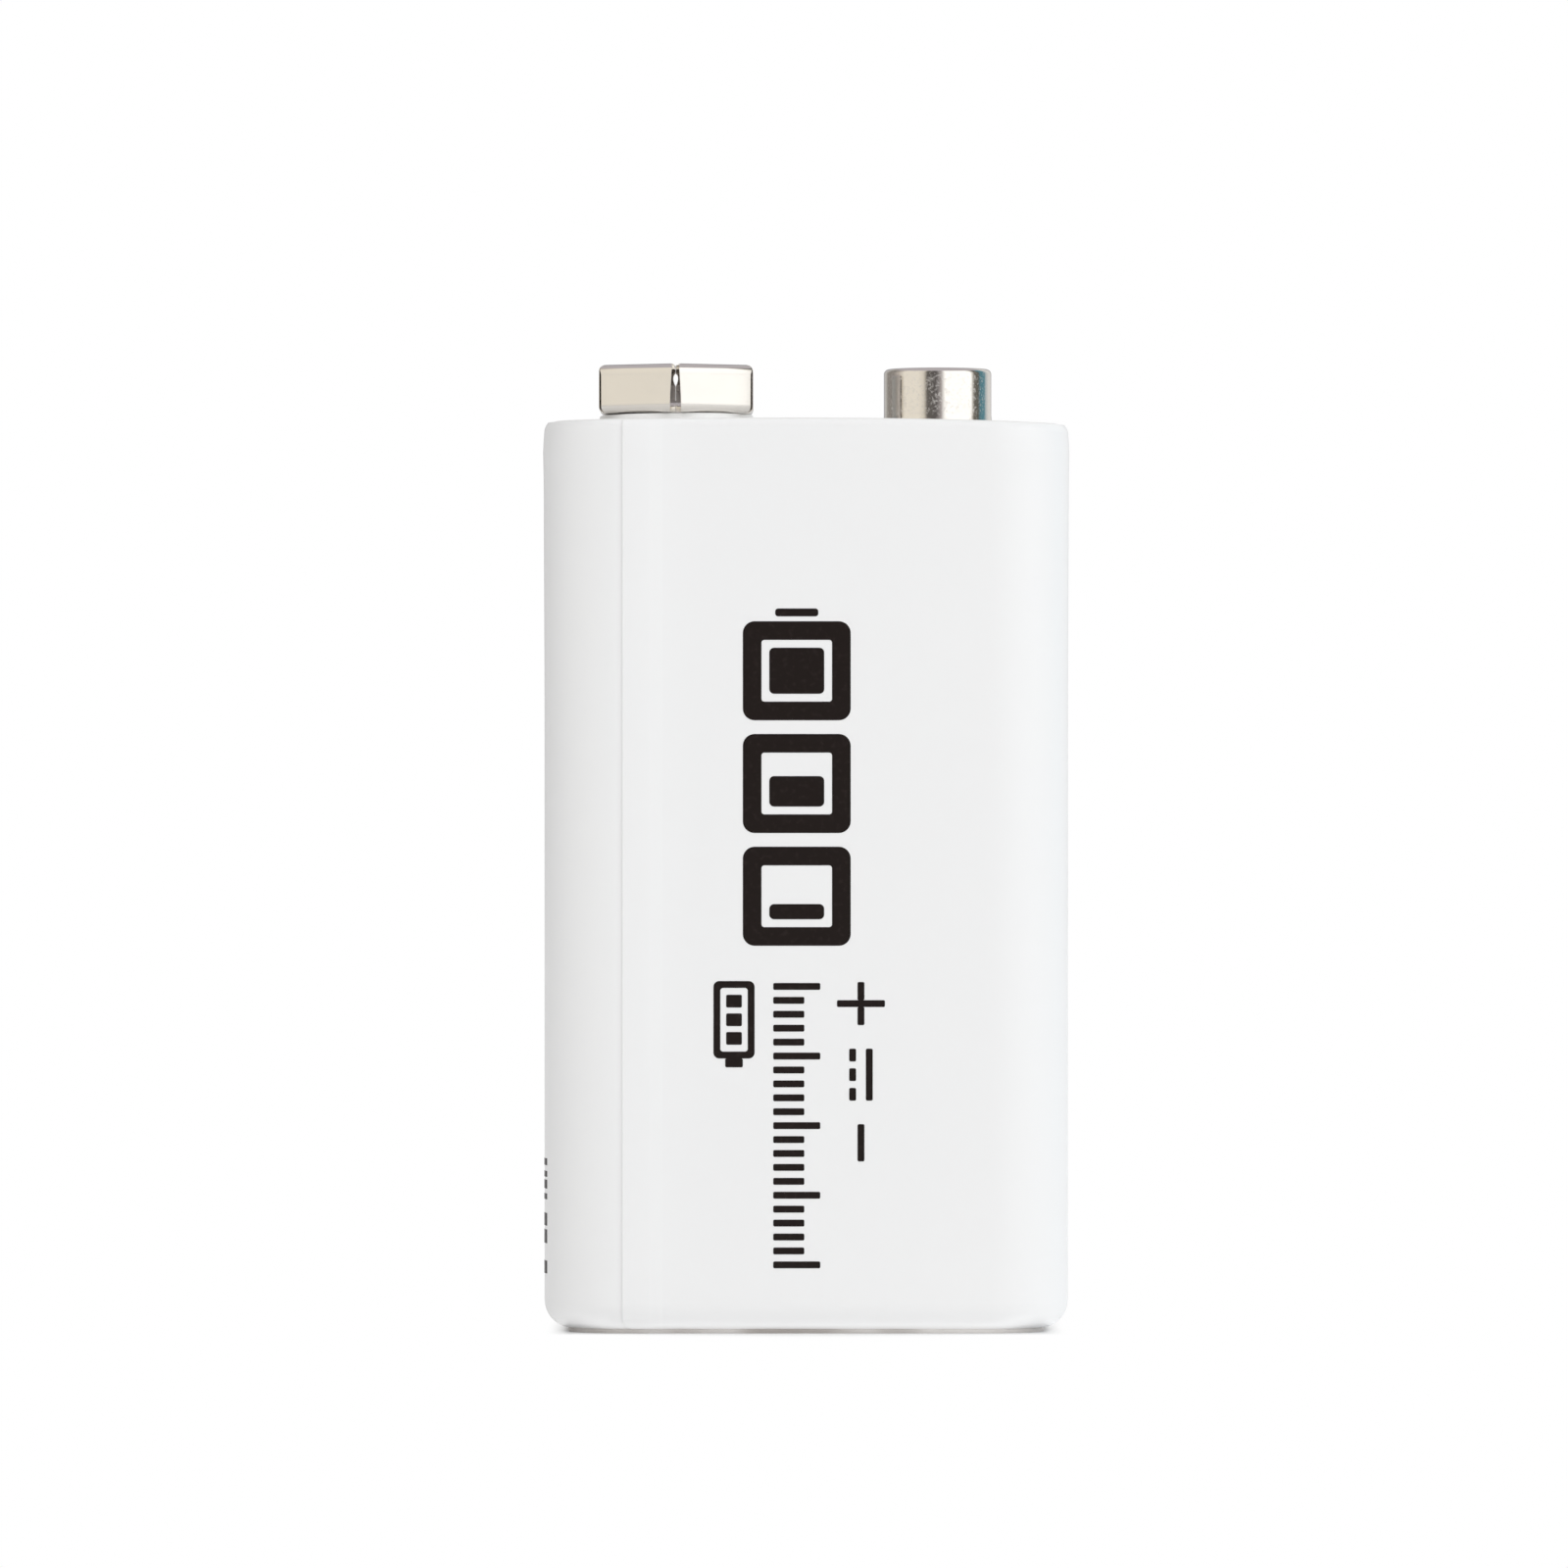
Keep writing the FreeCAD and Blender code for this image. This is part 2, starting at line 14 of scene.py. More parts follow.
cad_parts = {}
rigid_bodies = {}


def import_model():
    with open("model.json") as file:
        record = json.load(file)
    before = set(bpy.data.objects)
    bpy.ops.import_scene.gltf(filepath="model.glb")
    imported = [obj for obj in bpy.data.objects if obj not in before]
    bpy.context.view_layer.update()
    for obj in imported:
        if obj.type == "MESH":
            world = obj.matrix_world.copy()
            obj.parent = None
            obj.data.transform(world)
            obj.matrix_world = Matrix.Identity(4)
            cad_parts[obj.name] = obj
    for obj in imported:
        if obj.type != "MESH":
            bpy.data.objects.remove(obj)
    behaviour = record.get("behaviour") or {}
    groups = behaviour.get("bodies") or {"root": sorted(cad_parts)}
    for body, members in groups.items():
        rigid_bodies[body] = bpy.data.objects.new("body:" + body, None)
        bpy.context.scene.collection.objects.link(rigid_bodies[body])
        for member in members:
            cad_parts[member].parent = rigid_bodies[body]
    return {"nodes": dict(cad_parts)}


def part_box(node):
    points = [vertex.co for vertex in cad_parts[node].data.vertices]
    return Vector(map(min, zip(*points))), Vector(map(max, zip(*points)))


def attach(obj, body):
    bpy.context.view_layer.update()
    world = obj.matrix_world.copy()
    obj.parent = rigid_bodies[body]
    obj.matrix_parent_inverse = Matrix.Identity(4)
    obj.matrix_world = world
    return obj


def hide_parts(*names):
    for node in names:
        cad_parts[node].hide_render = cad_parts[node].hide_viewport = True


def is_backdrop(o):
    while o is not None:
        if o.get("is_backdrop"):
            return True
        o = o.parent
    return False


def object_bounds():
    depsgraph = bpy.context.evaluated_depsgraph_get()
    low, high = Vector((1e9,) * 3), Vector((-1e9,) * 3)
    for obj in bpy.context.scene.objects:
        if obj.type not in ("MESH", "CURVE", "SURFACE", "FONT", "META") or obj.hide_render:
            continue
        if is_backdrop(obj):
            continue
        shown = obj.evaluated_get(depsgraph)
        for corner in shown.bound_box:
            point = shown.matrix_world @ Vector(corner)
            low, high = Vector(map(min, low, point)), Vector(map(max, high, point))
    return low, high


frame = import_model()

cad_low, cad_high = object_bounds()
size_mm = [round(1000 * side, 2) for side in cad_high - cad_low]
print("frame:", len(frame["nodes"]), "nodes,", size_mm, "mm")

# %% [markdown]
# The photograph was taken level, from far off, a little left of the middle and half way up.
# A long lens keeps the body's edges upright. The camera comes first.

# %% Camera
MM = 0.001
CAMERA_PLACE = Vector((-1.08, -500, 26.5)) * MM
SENSOR_WIDTH = 36
FOCAL_LENGTH = 234.4
IMAGE_SIZE = 1600

scene = bpy.context.scene
camera_data = bpy.data.cameras.new("portrait_camera")
camera_data.sensor_width = SENSOR_WIDTH
camera_data.lens = FOCAL_LENGTH
camera_data.clip_start = 0.01
camera_data.clip_end = 100
camera = bpy.data.objects.new("portrait_camera", camera_data)
camera.location = CAMERA_PLACE
camera.rotation_euler = (math.radians(90), 0, 0)
scene.collection.objects.link(camera)
scene.camera = camera
print("camera:", FOCAL_LENGTH, "mm lens at", tuple(CAMERA_PLACE))

# %% [markdown]
# Materials are written as sums. A wire is one value that travels through a material's nodes,
# and adding or multiplying wires adds the Math nodes. A finish is the material itself, and its
# one node method makes everything else, such as noise, ramps and shaders.

# %% Wires and finishes
class Wire:
    """One socket that gives a value. Arithmetic on it adds Math nodes."""

    def __init__(self, finish, socket):
        self.finish = finish
        self.socket = socket

    def __add__(self, other):
        return self.finish.maths("ADD", self, other)

    def __radd__(self, other):
        return self.finish.maths("ADD", other, self)

    def __sub__(self, other):
        return self.finish.maths("SUBTRACT", self, other)

    def __rsub__(self, other):
        return self.finish.maths("SUBTRACT", other, self)

    def __mul__(self, other):
        return self.finish.maths("MULTIPLY", self, other)

    def __rmul__(self, other):
        return self.finish.maths("MULTIPLY", other, self)

    def __gt__(self, other):
        return self.finish.maths("GREATER_THAN", self, other)

    def __lt__(self, other):
        return self.finish.maths("LESS_THAN", self, other)


class Finish:
    """A tree of shader nodes, for a material or for the world."""

    def __init__(self, owner):
        self.owner = owner
        owner.use_nodes = True
        self.tree = owner.node_tree
        self.tree.nodes.clear()

    def node(self, kind, settings=None, inputs=None, output=0):
        """Adds a node: its settings first, then the values or links of its sockets."""
        made = self.tree.nodes.new(kind)
        for name, value in (settings or {}).items():
            if name == "stops":
                ramp = made.color_ramp.elements
                while len(ramp) < len(value):
                    ramp.new(1)
                for element, (position, colour) in zip(ramp, value):
                    element.position = position
                    element.color = (*colour, 1)
            else:
                setattr(made, name, value)
        for name, value in (inputs or {}).items():
            if isinstance(value, Wire):
                self.tree.links.new(value.socket, made.inputs[name])
            elif isinstance(value, tuple) and made.inputs[name].type == "RGBA":
                made.inputs[name].default_value = (*value, 1)
            else:
                made.inputs[name].default_value = value
        return Wire(self, made.outputs[output]) if made.outputs else None

    def maths(self, operation, first, second=0.0):
        """One Math node. An operation on a single value leaves the second unused."""
        return self.node("ShaderNodeMath", {"operation": operation}, {0: first, 1: second})

    def place(self):
        """Where a point of the piece is, in metres."""
        return self.node("ShaderNodeTexCoord", output="Object")

    def axes(self, vector):
        """The three parts of a vector."""
        split = self.node("ShaderNodeSeparateXYZ", {}, {0: vector})
        return [Wire(self, split.socket.node.outputs[n]) for n in range(3)]

    def noise(self, scale, detail=2.0, stretch=(1, 1, 1), distortion=0.0):
        """Noise from 0 to 1, with about that many features to the metre."""
        spread = self.node(
            "ShaderNodeVectorMath", {"operation": "MULTIPLY"},
            {0: self.place(), 1: tuple(scale * s for s in stretch)},
        )
        return self.node("ShaderNodeTexNoise", {}, {
            "Vector": spread, "Scale": 1.0, "Detail": detail, "Distortion": distortion,
        })

    def blend(self, factor, first, second):
        """A colour between two colours."""
        return self.node("ShaderNodeMix", {"data_type": "RGBA"}, {0: factor, 6: first, 7: second}, 2)

    def ease(self, value, low, high):
        """Rises smoothly from 0 to 1 as a value goes from low to high."""
        return self.node(
            "ShaderNodeMapRange", {"interpolation_type": "SMOOTHSTEP"},
            {0: value, 1: low, 2: high, 3: 0.0, 4: 1.0},
        )

    def relief(self, height, depth):
        """A normal that is tilted as if the surface rose and fell by that depth, in metres."""
        return self.node("ShaderNodeBump", {}, {"Height": height, "Distance": depth, "Strength": 1.0})

    def rays(self, *kinds):
        """For each kind of ray, a wire that is 1 on such a ray and 0 on any other."""
        path = self.node("ShaderNodeLightPath").socket.node.outputs
        return [Wire(self, path[f"Is {kind} Ray"]) for kind in kinds]

    def surface(self, shader):
        """Sends a shader to the output."""
        world = isinstance(self.owner, bpy.types.World)
        kind = "ShaderNodeOutputWorld" if world else "ShaderNodeOutputMaterial"
        self.node(kind, {}, {"Surface": shader})
        return self.owner

    def principled(self, **sockets):
        """The usual shader. Its sockets are named with underscores for spaces."""
        named = {name.replace("_", " "): value for name, value in sockets.items()}
        return self.surface(self.node("ShaderNodeBsdfPrincipled", {}, named))


def new_finish(name):
    """A finish for a new material."""
    return Finish(bpy.data.materials.new(name))


# %% [markdown]
# Nearly every piece of this object is drawn the same way: one outline, repeated as a ring and
# moved or resized from ring to ring. A skin over the rings gives a closed mesh with even
# quads, which shades more smoothly than a cylinder with its edges cut away.

# %% Rings and pieces
SMOOTH_ANGLE = math.radians(35)
SAME_PLACE = 1e-8


def skin(name, rings, closed, folded=False):
    """A mesh over rings of points.

    A closed one joins its last ring to its first. A folded one has rings that run up one side
    of a sheet and down the other, and a strip of quads closes each end.
    """
    count = len(rings[0])
    last = len(rings) if closed else len(rings) - 1
    faces = []
    for a in range(last):
        b = (a + 1) % len(rings)
        for i in range(count):
            j = (i + 1) % count
            faces.append((a * count + i, a * count + j, b * count + j, b * count + i))
    for start in () if closed else (0, last * count):
        if folded:
            for i in range(count // 2 - 1):
                up, down = start + i, start + count - 1 - i
                faces.append((up, up + 1, down - 1, down))
        else:
            faces.append(tuple(range(start, start + count)))
    return solid_mesh(name, [point for ring in rings for point in ring], faces)


def solid_mesh(name, points, faces):
    """A mesh with its doubled points merged, its faces turned outwards and its soft edges smooth."""
    mesh = bpy.data.meshes.new(name)
    mesh.from_pydata(points, [], faces)
    work = bmesh.new()
    work.from_mesh(mesh)
    bmesh.ops.remove_doubles(work, verts=work.verts, dist=SAME_PLACE)
    bmesh.ops.recalc_face_normals(work, faces=work.faces)
    work.to_mesh(mesh)
    work.free()
    return smooth(mesh)


def smooth(mesh):
    """Shades soft edges smooth and keeps folds sharp."""
    mesh.shade_smooth()
    mesh.set_sharp_from_angle(angle=SMOOTH_ANGLE)
    return mesh


def join(name, meshes):
    """Several meshes as one."""
    work = bmesh.new()
    for mesh in meshes:
        work.from_mesh(mesh)
        bpy.data.meshes.remove(mesh)
    joined = bpy.data.meshes.new(name)
    work.to_mesh(joined)
    work.free()
    return joined


def add_object(name, mesh):
    """A new object for a mesh."""
    piece = bpy.data.objects.new(name, mesh)
    scene.collection.objects.link(piece)
    return piece


def dress(piece, material, slot, *nodes):
    """Gives a new piece its material and place, and hides the nodes it stands for. Its slot is not
    used.
    """
    piece.data.materials.clear()
    piece.data.materials.append(material)
    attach(piece, "root")
    if nodes:
        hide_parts(*nodes)
    work = bmesh.new()
    work.from_mesh(piece.data)
    loose = sum(1 for edge in work.edges if not edge.is_manifold)
    triangles = sum(len(face.verts) - 2 for face in work.faces)
    work.free()
    print(f"{piece.name}: {triangles} triangles, {loose} open edges")
    return piece


# %% [markdown]
# The body is a rounded block. Any level outline of it is the same core, a smaller rectangle,
# pushed outwards by one distance. That makes offsets easy: the case, the film on it and the
# lap on the film are the same samples with a larger spread.

# %% Body sizes and level outlines
film_low, film_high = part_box("label_film")
FILM = 0.12 * MM
CASE_CORNER = 3.68 * MM
CASE_HALF_WIDTH = film_high.x - FILM
CASE_HALF_DEPTH = film_high.y - FILM
BODY_TOP = 44.17 * MM
FOOT = 0.25 * MM
HEEL = 1.25 * MM
SHOULDER = 0.5 * MM
CORNER_STEPS = 20
DROOP_RIGHT, DROOP_LEFT = 0.2 * MM, 0.08 * MM
DROOP_REACH = 11 * MM
DROOP_FROM = 41 * MM


def clamp(value):
    """A value held between 0 and 1."""
    return min(1.0, max(0.0, value))


def eased(value):
    """Rises smoothly from 0 to 1."""
    value = clamp(value)
    return value * value * (3 - 2 * value)


def plan_samples(half_width, half_depth, corner, steps=CORNER_STEPS, front=()):
    """Samples round a rounded rectangle: a point of its core and the way out from it."""
    x, y = half_width - corner, half_depth - corner
    samples = []
    for quarter, (side_x, side_y) in enumerate(((1, -1), (1, 1), (-1, 1), (-1, -1))):
        for step in range(steps + 1):
            angle = math.radians(90) * (quarter - 1 + step / steps)
            samples.append((side_x * x, side_y * y, math.cos(angle), math.sin(angle)))
    samples += [(along, -y, 0, -1) for along in front]
    return samples


def level_ring(samples, spread, z):
    """One level outline: the samples pushed out by a spread."""
    return [(x + out_x * spread, y + out_y * spread, z) for x, y, out_x, out_y in samples]


def droop(x, z):
    """How far the slightly crowned top of the body drops towards its two ends."""
    ends = DROOP_RIGHT if x > 0 else DROOP_LEFT
    return ends * clamp(abs(x) / DROOP_REACH) ** 2 * eased((z - DROOP_FROM) / (BODY_TOP - DROOP_FROM))


def rounded_column(name, half_width, half_depth, corner, bottom, top):
    """A plain upright block with rounded corners."""
    samples = plan_samples(half_width, half_depth, corner)
    return skin(name, [level_ring(samples, corner, z) for z in (bottom, top)], False)


print("body:", round(2 * film_high.x / MM, 2), "by", round(2 * film_high.y / MM, 2), "mm")

# %% [markdown]
# The label film is one glossy sheet, shrunk round the body and over its shoulders and heels.
# Its outer end laps over its inner end on the left of the front, and the step there is the
# seam that shows. The real sheet bridges a little hollow under the cover's rim and bulges at
# the top of the sides, so the sheet gets these as small offsets and isn't a plain offset.

# %% Label film
FILM_TOP = film_high.z
SEAM = -8.87 * MM
LAP_END = -7.65 * MM
RAMP_END = -6.85 * MM
LAP_CORNER = 0.4 * MM
RIM_LEVEL = 42.6 * MM
HOLLOW_REACH = 2.4 * MM
RIM_PROUD = 0.03 * MM
BULGE_START = 29 * MM
BULGE_END = 42 * MM
BULGE = 0.04 * MM
FILM_FOOT = 0.21 * MM
ROUND_STEPS = 10
FILM_GAP = 0.004 * MM
LAP_EDGE = ((-0.003, 0.0), (0.003, 0.85), (0.02, 1.0), (0.4, 1.0))
LAP_RAMP = 6
FLAT_PLACES = (-5, -2.5, 0, 2.5, 5)
WALL_LEVELS = (
    3, 6, 10, 15, 20, 25, 29, 31, 33, 35, 37, 39,
    40.2, 40.8, 41.3, 41.8, 42.2, 42.5, 42.6, 42.7, 43.1, 43.4,
)
LAP_IN, LAP_OUT = (-8.95 * MM, -8.85 * MM), (-7.9 * MM, -7.4 * MM)
WRINKLE_LEVELS = (41.9 * MM, 43.2 * MM)
FILM_RELIEF = 0.012 * MM


def film_offset(out_x, z):
    """How far the real sheet stands off a plain offset of the case."""
    hollow = clamp((z - RIM_LEVEL + HOLLOW_REACH) / HOLLOW_REACH)
    bulge = eased((z - BULGE_START) / (BULGE_END - BULGE_START))
    settle = 1 - eased((z - RIM_LEVEL) / (FILM_TOP - RIM_LEVEL))
    return (RIM_PROUD * hollow ** 2 + BULGE * bulge * out_x ** 2) * settle


def lap_shift(z):
    """How far the lap's rounded lower corner draws its edge back."""
    near = clamp((z - FILM_FOOT) / LAP_CORNER)
    return LAP_CORNER * (1 - math.sqrt(1 - (1 - near) ** 2))


def sheet_levels(grow):
    """The levels of a skin on the case, each with how far it draws in: heel, wall and shoulder."""
    heel, shoulder = HEEL + grow, SHOULDER + grow
    heel_middle, shoulder_middle = FOOT + HEEL, BODY_TOP - SHOULDER
    low = math.acos((heel_middle - FILM_FOOT) / (HEEL + FILM))
    high = math.asin(clamp((FILM_TOP - shoulder_middle) / shoulder))
    levels = []
    for step in range(ROUND_STEPS + 1):
        angle = low + (math.pi / 2 - low) * step / ROUND_STEPS
        levels.append((heel_middle - heel * math.cos(angle), heel * (1 - math.sin(angle))))
    levels += [(z * MM, 0.0) for z in WALL_LEVELS]
    for step in range(ROUND_STEPS + 1):
        angle = high * step / ROUND_STEPS
        rise, inset = shoulder * math.sin(angle), shoulder * (1 - math.cos(angle))
        levels.append((shoulder_middle + rise, inset))
    return levels


def film_mesh():
    """The sheet as one closed skin: up its outside and down its inside."""
    ramp = [n / LAP_RAMP for n in range(LAP_RAMP + 1)]
    front = [(SEAM + along * MM, share) for along, share in LAP_EDGE]
    front += [(LAP_END + (RAMP_END - LAP_END) * step, 1 - step) for step in ramp]
    front += [(x * MM, 0.0) for x in FLAT_PLACES]
    places = [x for x, share in front]
    samples = plan_samples(CASE_HALF_WIDTH, CASE_HALF_DEPTH, CASE_CORNER, front=places)
    before_front = len(samples) - len(front)
    shares = [0.0] * before_front + [share for x, share in front]
    lap_edge = range(before_front, before_front + len(LAP_EDGE))
    rings = []
    for z, inset in sheet_levels(FILM):
        ring = []
        for n, (x, y, out_x, out_y) in enumerate(samples):
            spread = CASE_CORNER + FILM - inset + film_offset(out_x, z) + FILM * shares[n]
            if n in lap_edge:
                x += lap_shift(z)
            ring.append((x + out_x * spread, y + out_y * spread, z))
        rings.append(ring)
    for z, inset in reversed(sheet_levels(0)):
        rings.append(level_ring(samples, CASE_CORNER + FILM_GAP - inset, z))
    rings = [[(x, y, z - droop(x, z)) for x, y, z in ring] for ring in rings]
    return skin("film_sheet", rings, True)


def film_finish():
    """Glossy white film: faint mottling, streaks by the lap and wrinkles over the shoulders."""
    film = new_finish("glossy_white_film")
    x, y, z = film.axes(film.place())
    mottle = film.noise(160, 3)
    colour = film.blend(mottle, (0.852, 0.857, 0.862), (0.862, 0.865, 0.868))
    lap = film.ease(x, *LAP_IN) * (1 - film.ease(x, *LAP_OUT)) * (y < 0.0)
    streaks = film.noise(1000, 2, (3.2, 0.3, 0.03)) * lap
    wrinkles = film.noise(420, 3, (1, 1, 1.8), 0.6) * film.ease(z, *WRINKLE_LEVELS)
    waves = film.noise(90, 1, (1, 1, 0.35))
    height = waves * 0.4 + streaks * 0.2 + wrinkles * 0.35
    return film.principled(
        Base_Color=colour,
        Roughness=0.3 + 0.04 * film.noise(300, 2),
        IOR=1.46,
        Coat_Weight=0.12,
        Coat_Roughness=0.15,
        Normal=film.relief(height, FILM_RELIEF),
    )


dress(add_object("film_sheet", film_mesh()), film_finish(), "white_film", "label_film")

# %% [markdown]
# The cover is moulded in one shot: plate, rim, the spigot that plugs the case, the round seat
# of the crown and two rivet holes. Joining and cutting a few round solids is closest to how
# its mould is made, so it uses Boolean modifiers and keeps only their result.

# %% Moulded cover
JOINT = 42.75 * MM
PLATE_UNDER = 43.2 * MM
SPIGOT_BOTTOM = 41.45 * MM
TERMINAL_X = 6.35 * MM
SPIGOT = (11.53 * MM, 7.13 * MM, 2.63 * MM)
SPIGOT_HOLLOW = (10.73 * MM, 6.33 * MM, 1.83 * MM)
OVERLAP = 0.3 * MM
RIVET_HOLE = 0.95 * MM
SEAT_HEIGHT = 0.4 * MM
SEAT_TOP_RADIUS = 3.7 * MM
SEAT_FOOT_RADIUS = 3.82 * MM
SEAT_CHAMFER = 0.05 * MM
TURN_STEPS = 128
CROWN_CUTS = 12
PLASTIC_RELIEF = 0.004 * MM


def turned_solid(name, profile, centre_x, steps=TURN_STEPS):
    """A solid of revolution about an upright axis, from a closed profile of radii and heights."""
    rings = []
    for n in range(steps):
        angle = 2 * math.pi * n / steps
        rings.append([(centre_x + r * math.cos(angle), r * math.sin(angle), z) for r, z in profile])
    return skin(name, rings, True)


def combine(base, others, operation):
    """Joins other meshes to an object, or cuts them from it, and keeps the result as its mesh."""
    for mesh in others:
        tool = add_object("tool", mesh)
        step = base.modifiers.new("step", "BOOLEAN")
        step.operation = operation
        step.solver = "EXACT"
        step.object = tool
        graph = bpy.context.evaluated_depsgraph_get()
        made = bpy.data.meshes.new_from_object(base.evaluated_get(graph))
        base.modifiers.clear()
        base.data = made
        bpy.data.objects.remove(tool)
    smooth(base.data)


def cover_piece():
    """The plate with its rounded rim, joined to spigot and seat and cut by hollow and holes."""
    samples = plan_samples(CASE_HALF_WIDTH, CASE_HALF_DEPTH, CASE_CORNER)
    rings = [level_ring(samples, CASE_CORNER, JOINT)]
    for step in range(ROUND_STEPS + 1):
        angle = math.pi / 2 * step / ROUND_STEPS
        inset = SHOULDER * (1 - math.cos(angle))
        z = BODY_TOP - SHOULDER + SHOULDER * math.sin(angle)
        rings.append(level_ring(samples, CASE_CORNER - inset, z))
    cover = add_object("moulded_cover", skin("moulded_cover", rings, False))
    spigot = rounded_column("spigot", *SPIGOT, SPIGOT_BOTTOM, PLATE_UNDER + SEAT_HEIGHT)
    seat = turned_solid("seat", [
        (0, BODY_TOP - OVERLAP),
        (SEAT_FOOT_RADIUS, BODY_TOP - OVERLAP),
        (SEAT_FOOT_RADIUS, BODY_TOP),
        (SEAT_TOP_RADIUS + SEAT_CHAMFER, BODY_TOP + SEAT_HEIGHT - SEAT_CHAMFER),
        (SEAT_TOP_RADIUS, BODY_TOP + SEAT_HEIGHT),
        (0, BODY_TOP + SEAT_HEIGHT),
    ], -TERMINAL_X)
    combine(cover, [spigot, seat], "UNION")
    hollow = rounded_column("hollow", *SPIGOT_HOLLOW, SPIGOT_BOTTOM - OVERLAP, PLATE_UNDER)
    above = BODY_TOP + 2 * SEAT_HEIGHT
    hole = [(0, JOINT), (RIVET_HOLE, JOINT), (RIVET_HOLE, above), (0, above)]
    holes = [turned_solid("hole", hole, x) for x in (-TERMINAL_X, TERMINAL_X)]
    combine(cover, [hollow] + holes, "DIFFERENCE")
    crown_top(cover.data)
    return cover


def crown_top(mesh):
    """Cuts the cover across at even steps, and lets its top drop towards the ends."""
    work = bmesh.new()
    work.from_mesh(mesh)
    for n in range(1 - CROWN_CUTS, CROWN_CUTS):
        everything = work.verts[:] + work.edges[:] + work.faces[:]
        cut = (CASE_HALF_WIDTH * n / CROWN_CUTS, 0, 0)
        bmesh.ops.bisect_plane(
            work, geom=everything, dist=SAME_PLACE, plane_co=cut, plane_no=(1, 0, 0),
        )
    for point in work.verts:
        point.co.z -= droop(point.co.x, point.co.z)
    work.to_mesh(mesh)
    work.free()
    smooth(mesh)


def moulded_finish(name, colour, roughness):
    """White moulded plastic: a fine spark-eroded texture and slow changes of gloss."""
    plastic = new_finish(name)
    cloud = plastic.noise(200, 2)
    darker = tuple(0.96 * part for part in colour)
    height = plastic.noise(9000, 3) * 0.6 + plastic.noise(500, 1)
    return plastic.principled(
        Base_Color=plastic.blend(cloud, darker, colour),
        Roughness=roughness + 0.1 * plastic.noise(1500, 2),
        IOR=1.5,
        Normal=plastic.relief(height, PLASTIC_RELIEF),
    )


cover_white = moulded_finish("moulded_white_cover", (0.91, 0.91, 0.9), 0.38)
dress(cover_piece(), cover_white, "white_cover", "top_cover")

# %% [markdown]
# Both terminals start as flat nickel-plated sheet. A bent sheet is easiest to draw edge on:
# a middle line of straight runs and bends, thickened to both sides. The stud is that drawing
# turned round its axis. The crown is the same kind of drawing, cut to six wedges.

# %% Bent sheet
SHEET = 0.3 * MM
BEND_STEPS = 8
RUN_STEPS = 12


def middle_line(corners, bends):
    """Points along the middle of a bent sheet, each with the way across the sheet."""
    points = [Vector(corner) for corner in corners]
    runs = [(b - a).normalized() for a, b in zip(points, points[1:])]
    line = [(points[0], runs[0].orthogonal())]
    for n, bend in enumerate(bends):
        before, after = runs[n], runs[n + 1]
        turn = math.atan2(before.cross(after), before.dot(after))
        start = points[n + 1] - before * (bend * math.tan(abs(turn) / 2))
        centre = start + before.orthogonal() * math.copysign(bend, turn)
        line += between(line[-1], start)
        for step in range(BEND_STEPS + 1):
            spin = Matrix.Rotation(turn * step / BEND_STEPS, 2)
            line.append((centre + spin @ (start - centre), spin @ before.orthogonal()))
    line += between(line[-1], points[-1])
    line.append((points[-1], runs[-1].orthogonal()))
    return line


def between(last, target):
    """Points on a straight run, so that a long run is more than one quad."""
    place, across = last
    return [(place.lerp(target, n / RUN_STEPS), across) for n in range(1, RUN_STEPS)]


def sheet_outline(line, half):
    """The closed outline of the sheet round its middle line."""
    near = [point + across * half for point, across in line]
    far = [point - across * half for point, across in line]
    return near + far[::-1]


print("sheet:", round(SHEET / MM, 2), "mm")

# %% [markdown]
# Nickel plate is nearly a mirror, so what it shows is the studio. Its own colour is a warm
# grey, and the plate lies over drawn steel that isn't quite flat, so slow waves and fine
# rubbed lines go into the bump, and small changes go into the roughness.

# %% Nickel finishes
NICKEL = (0.81, 0.78, 0.74)
RIVET_METAL = (0.72, 0.69, 0.65)
WEAR_AND_SHADE = (0.55, 0.49, 0.46)
NICKEL_RELIEF = 0.004 * MM
SPRING_REACH = 3.55 * MM
SPRING_LEVELS = (44.9 * MM, 45.95 * MM)
SPRING_SOFT = 0.1 * MM
SPRING_RUBBED = 0.8
STUD_SIDE_FROM, STUD_SIDE_TO = 3.68 * MM, 3.76 * MM
SIDE_SHADE, SIDE_ROUGHER = 0.6, 0.28


def nickel_finish(name, colour, roughness, speckle, worn=False):
    """Nickel plate: slow waves, fine upright scratches and specks of thinner plate.

    The crown's is worn too, rubbed off its springs, and darker and rougher where it faces the stud,
    as painted shade that the stud mirrors.
    """
    nickel = new_finish(name)
    scratches = nickel.noise(9000, 2, (1, 1, 0.12))
    specks = nickel.ease(nickel.noise(7500, 3), 0.45, 0.7)
    height = nickel.noise(350, 1) + scratches * 0.03 - specks * 0.02
    plate = nickel.blend(nickel.noise(600, 3), tuple(0.95 * part for part in colour), colour)
    metallic = 1.0
    if worn:
        rubbed, side_shade = springs(nickel), stud_side_shade(nickel)
        plate = nickel.blend(rubbed, plate, WEAR_AND_SHADE)
        # Painted shade: the crown's wall that faces the stud is darkened, so that the stud mirrors it
        # as a dark stripe.
        plate = nickel.blend(SIDE_SHADE * side_shade, plate, WEAR_AND_SHADE)
        metallic = 1 - rubbed
        roughness = roughness + SIDE_ROUGHER * side_shade
    return nickel.principled(
        Base_Color=plate,
        Metallic=metallic,
        Roughness=roughness + 0.04 * nickel.noise(1100, 3) + speckle * specks,
        Normal=nickel.relief(height, NICKEL_RELIEF),
    )


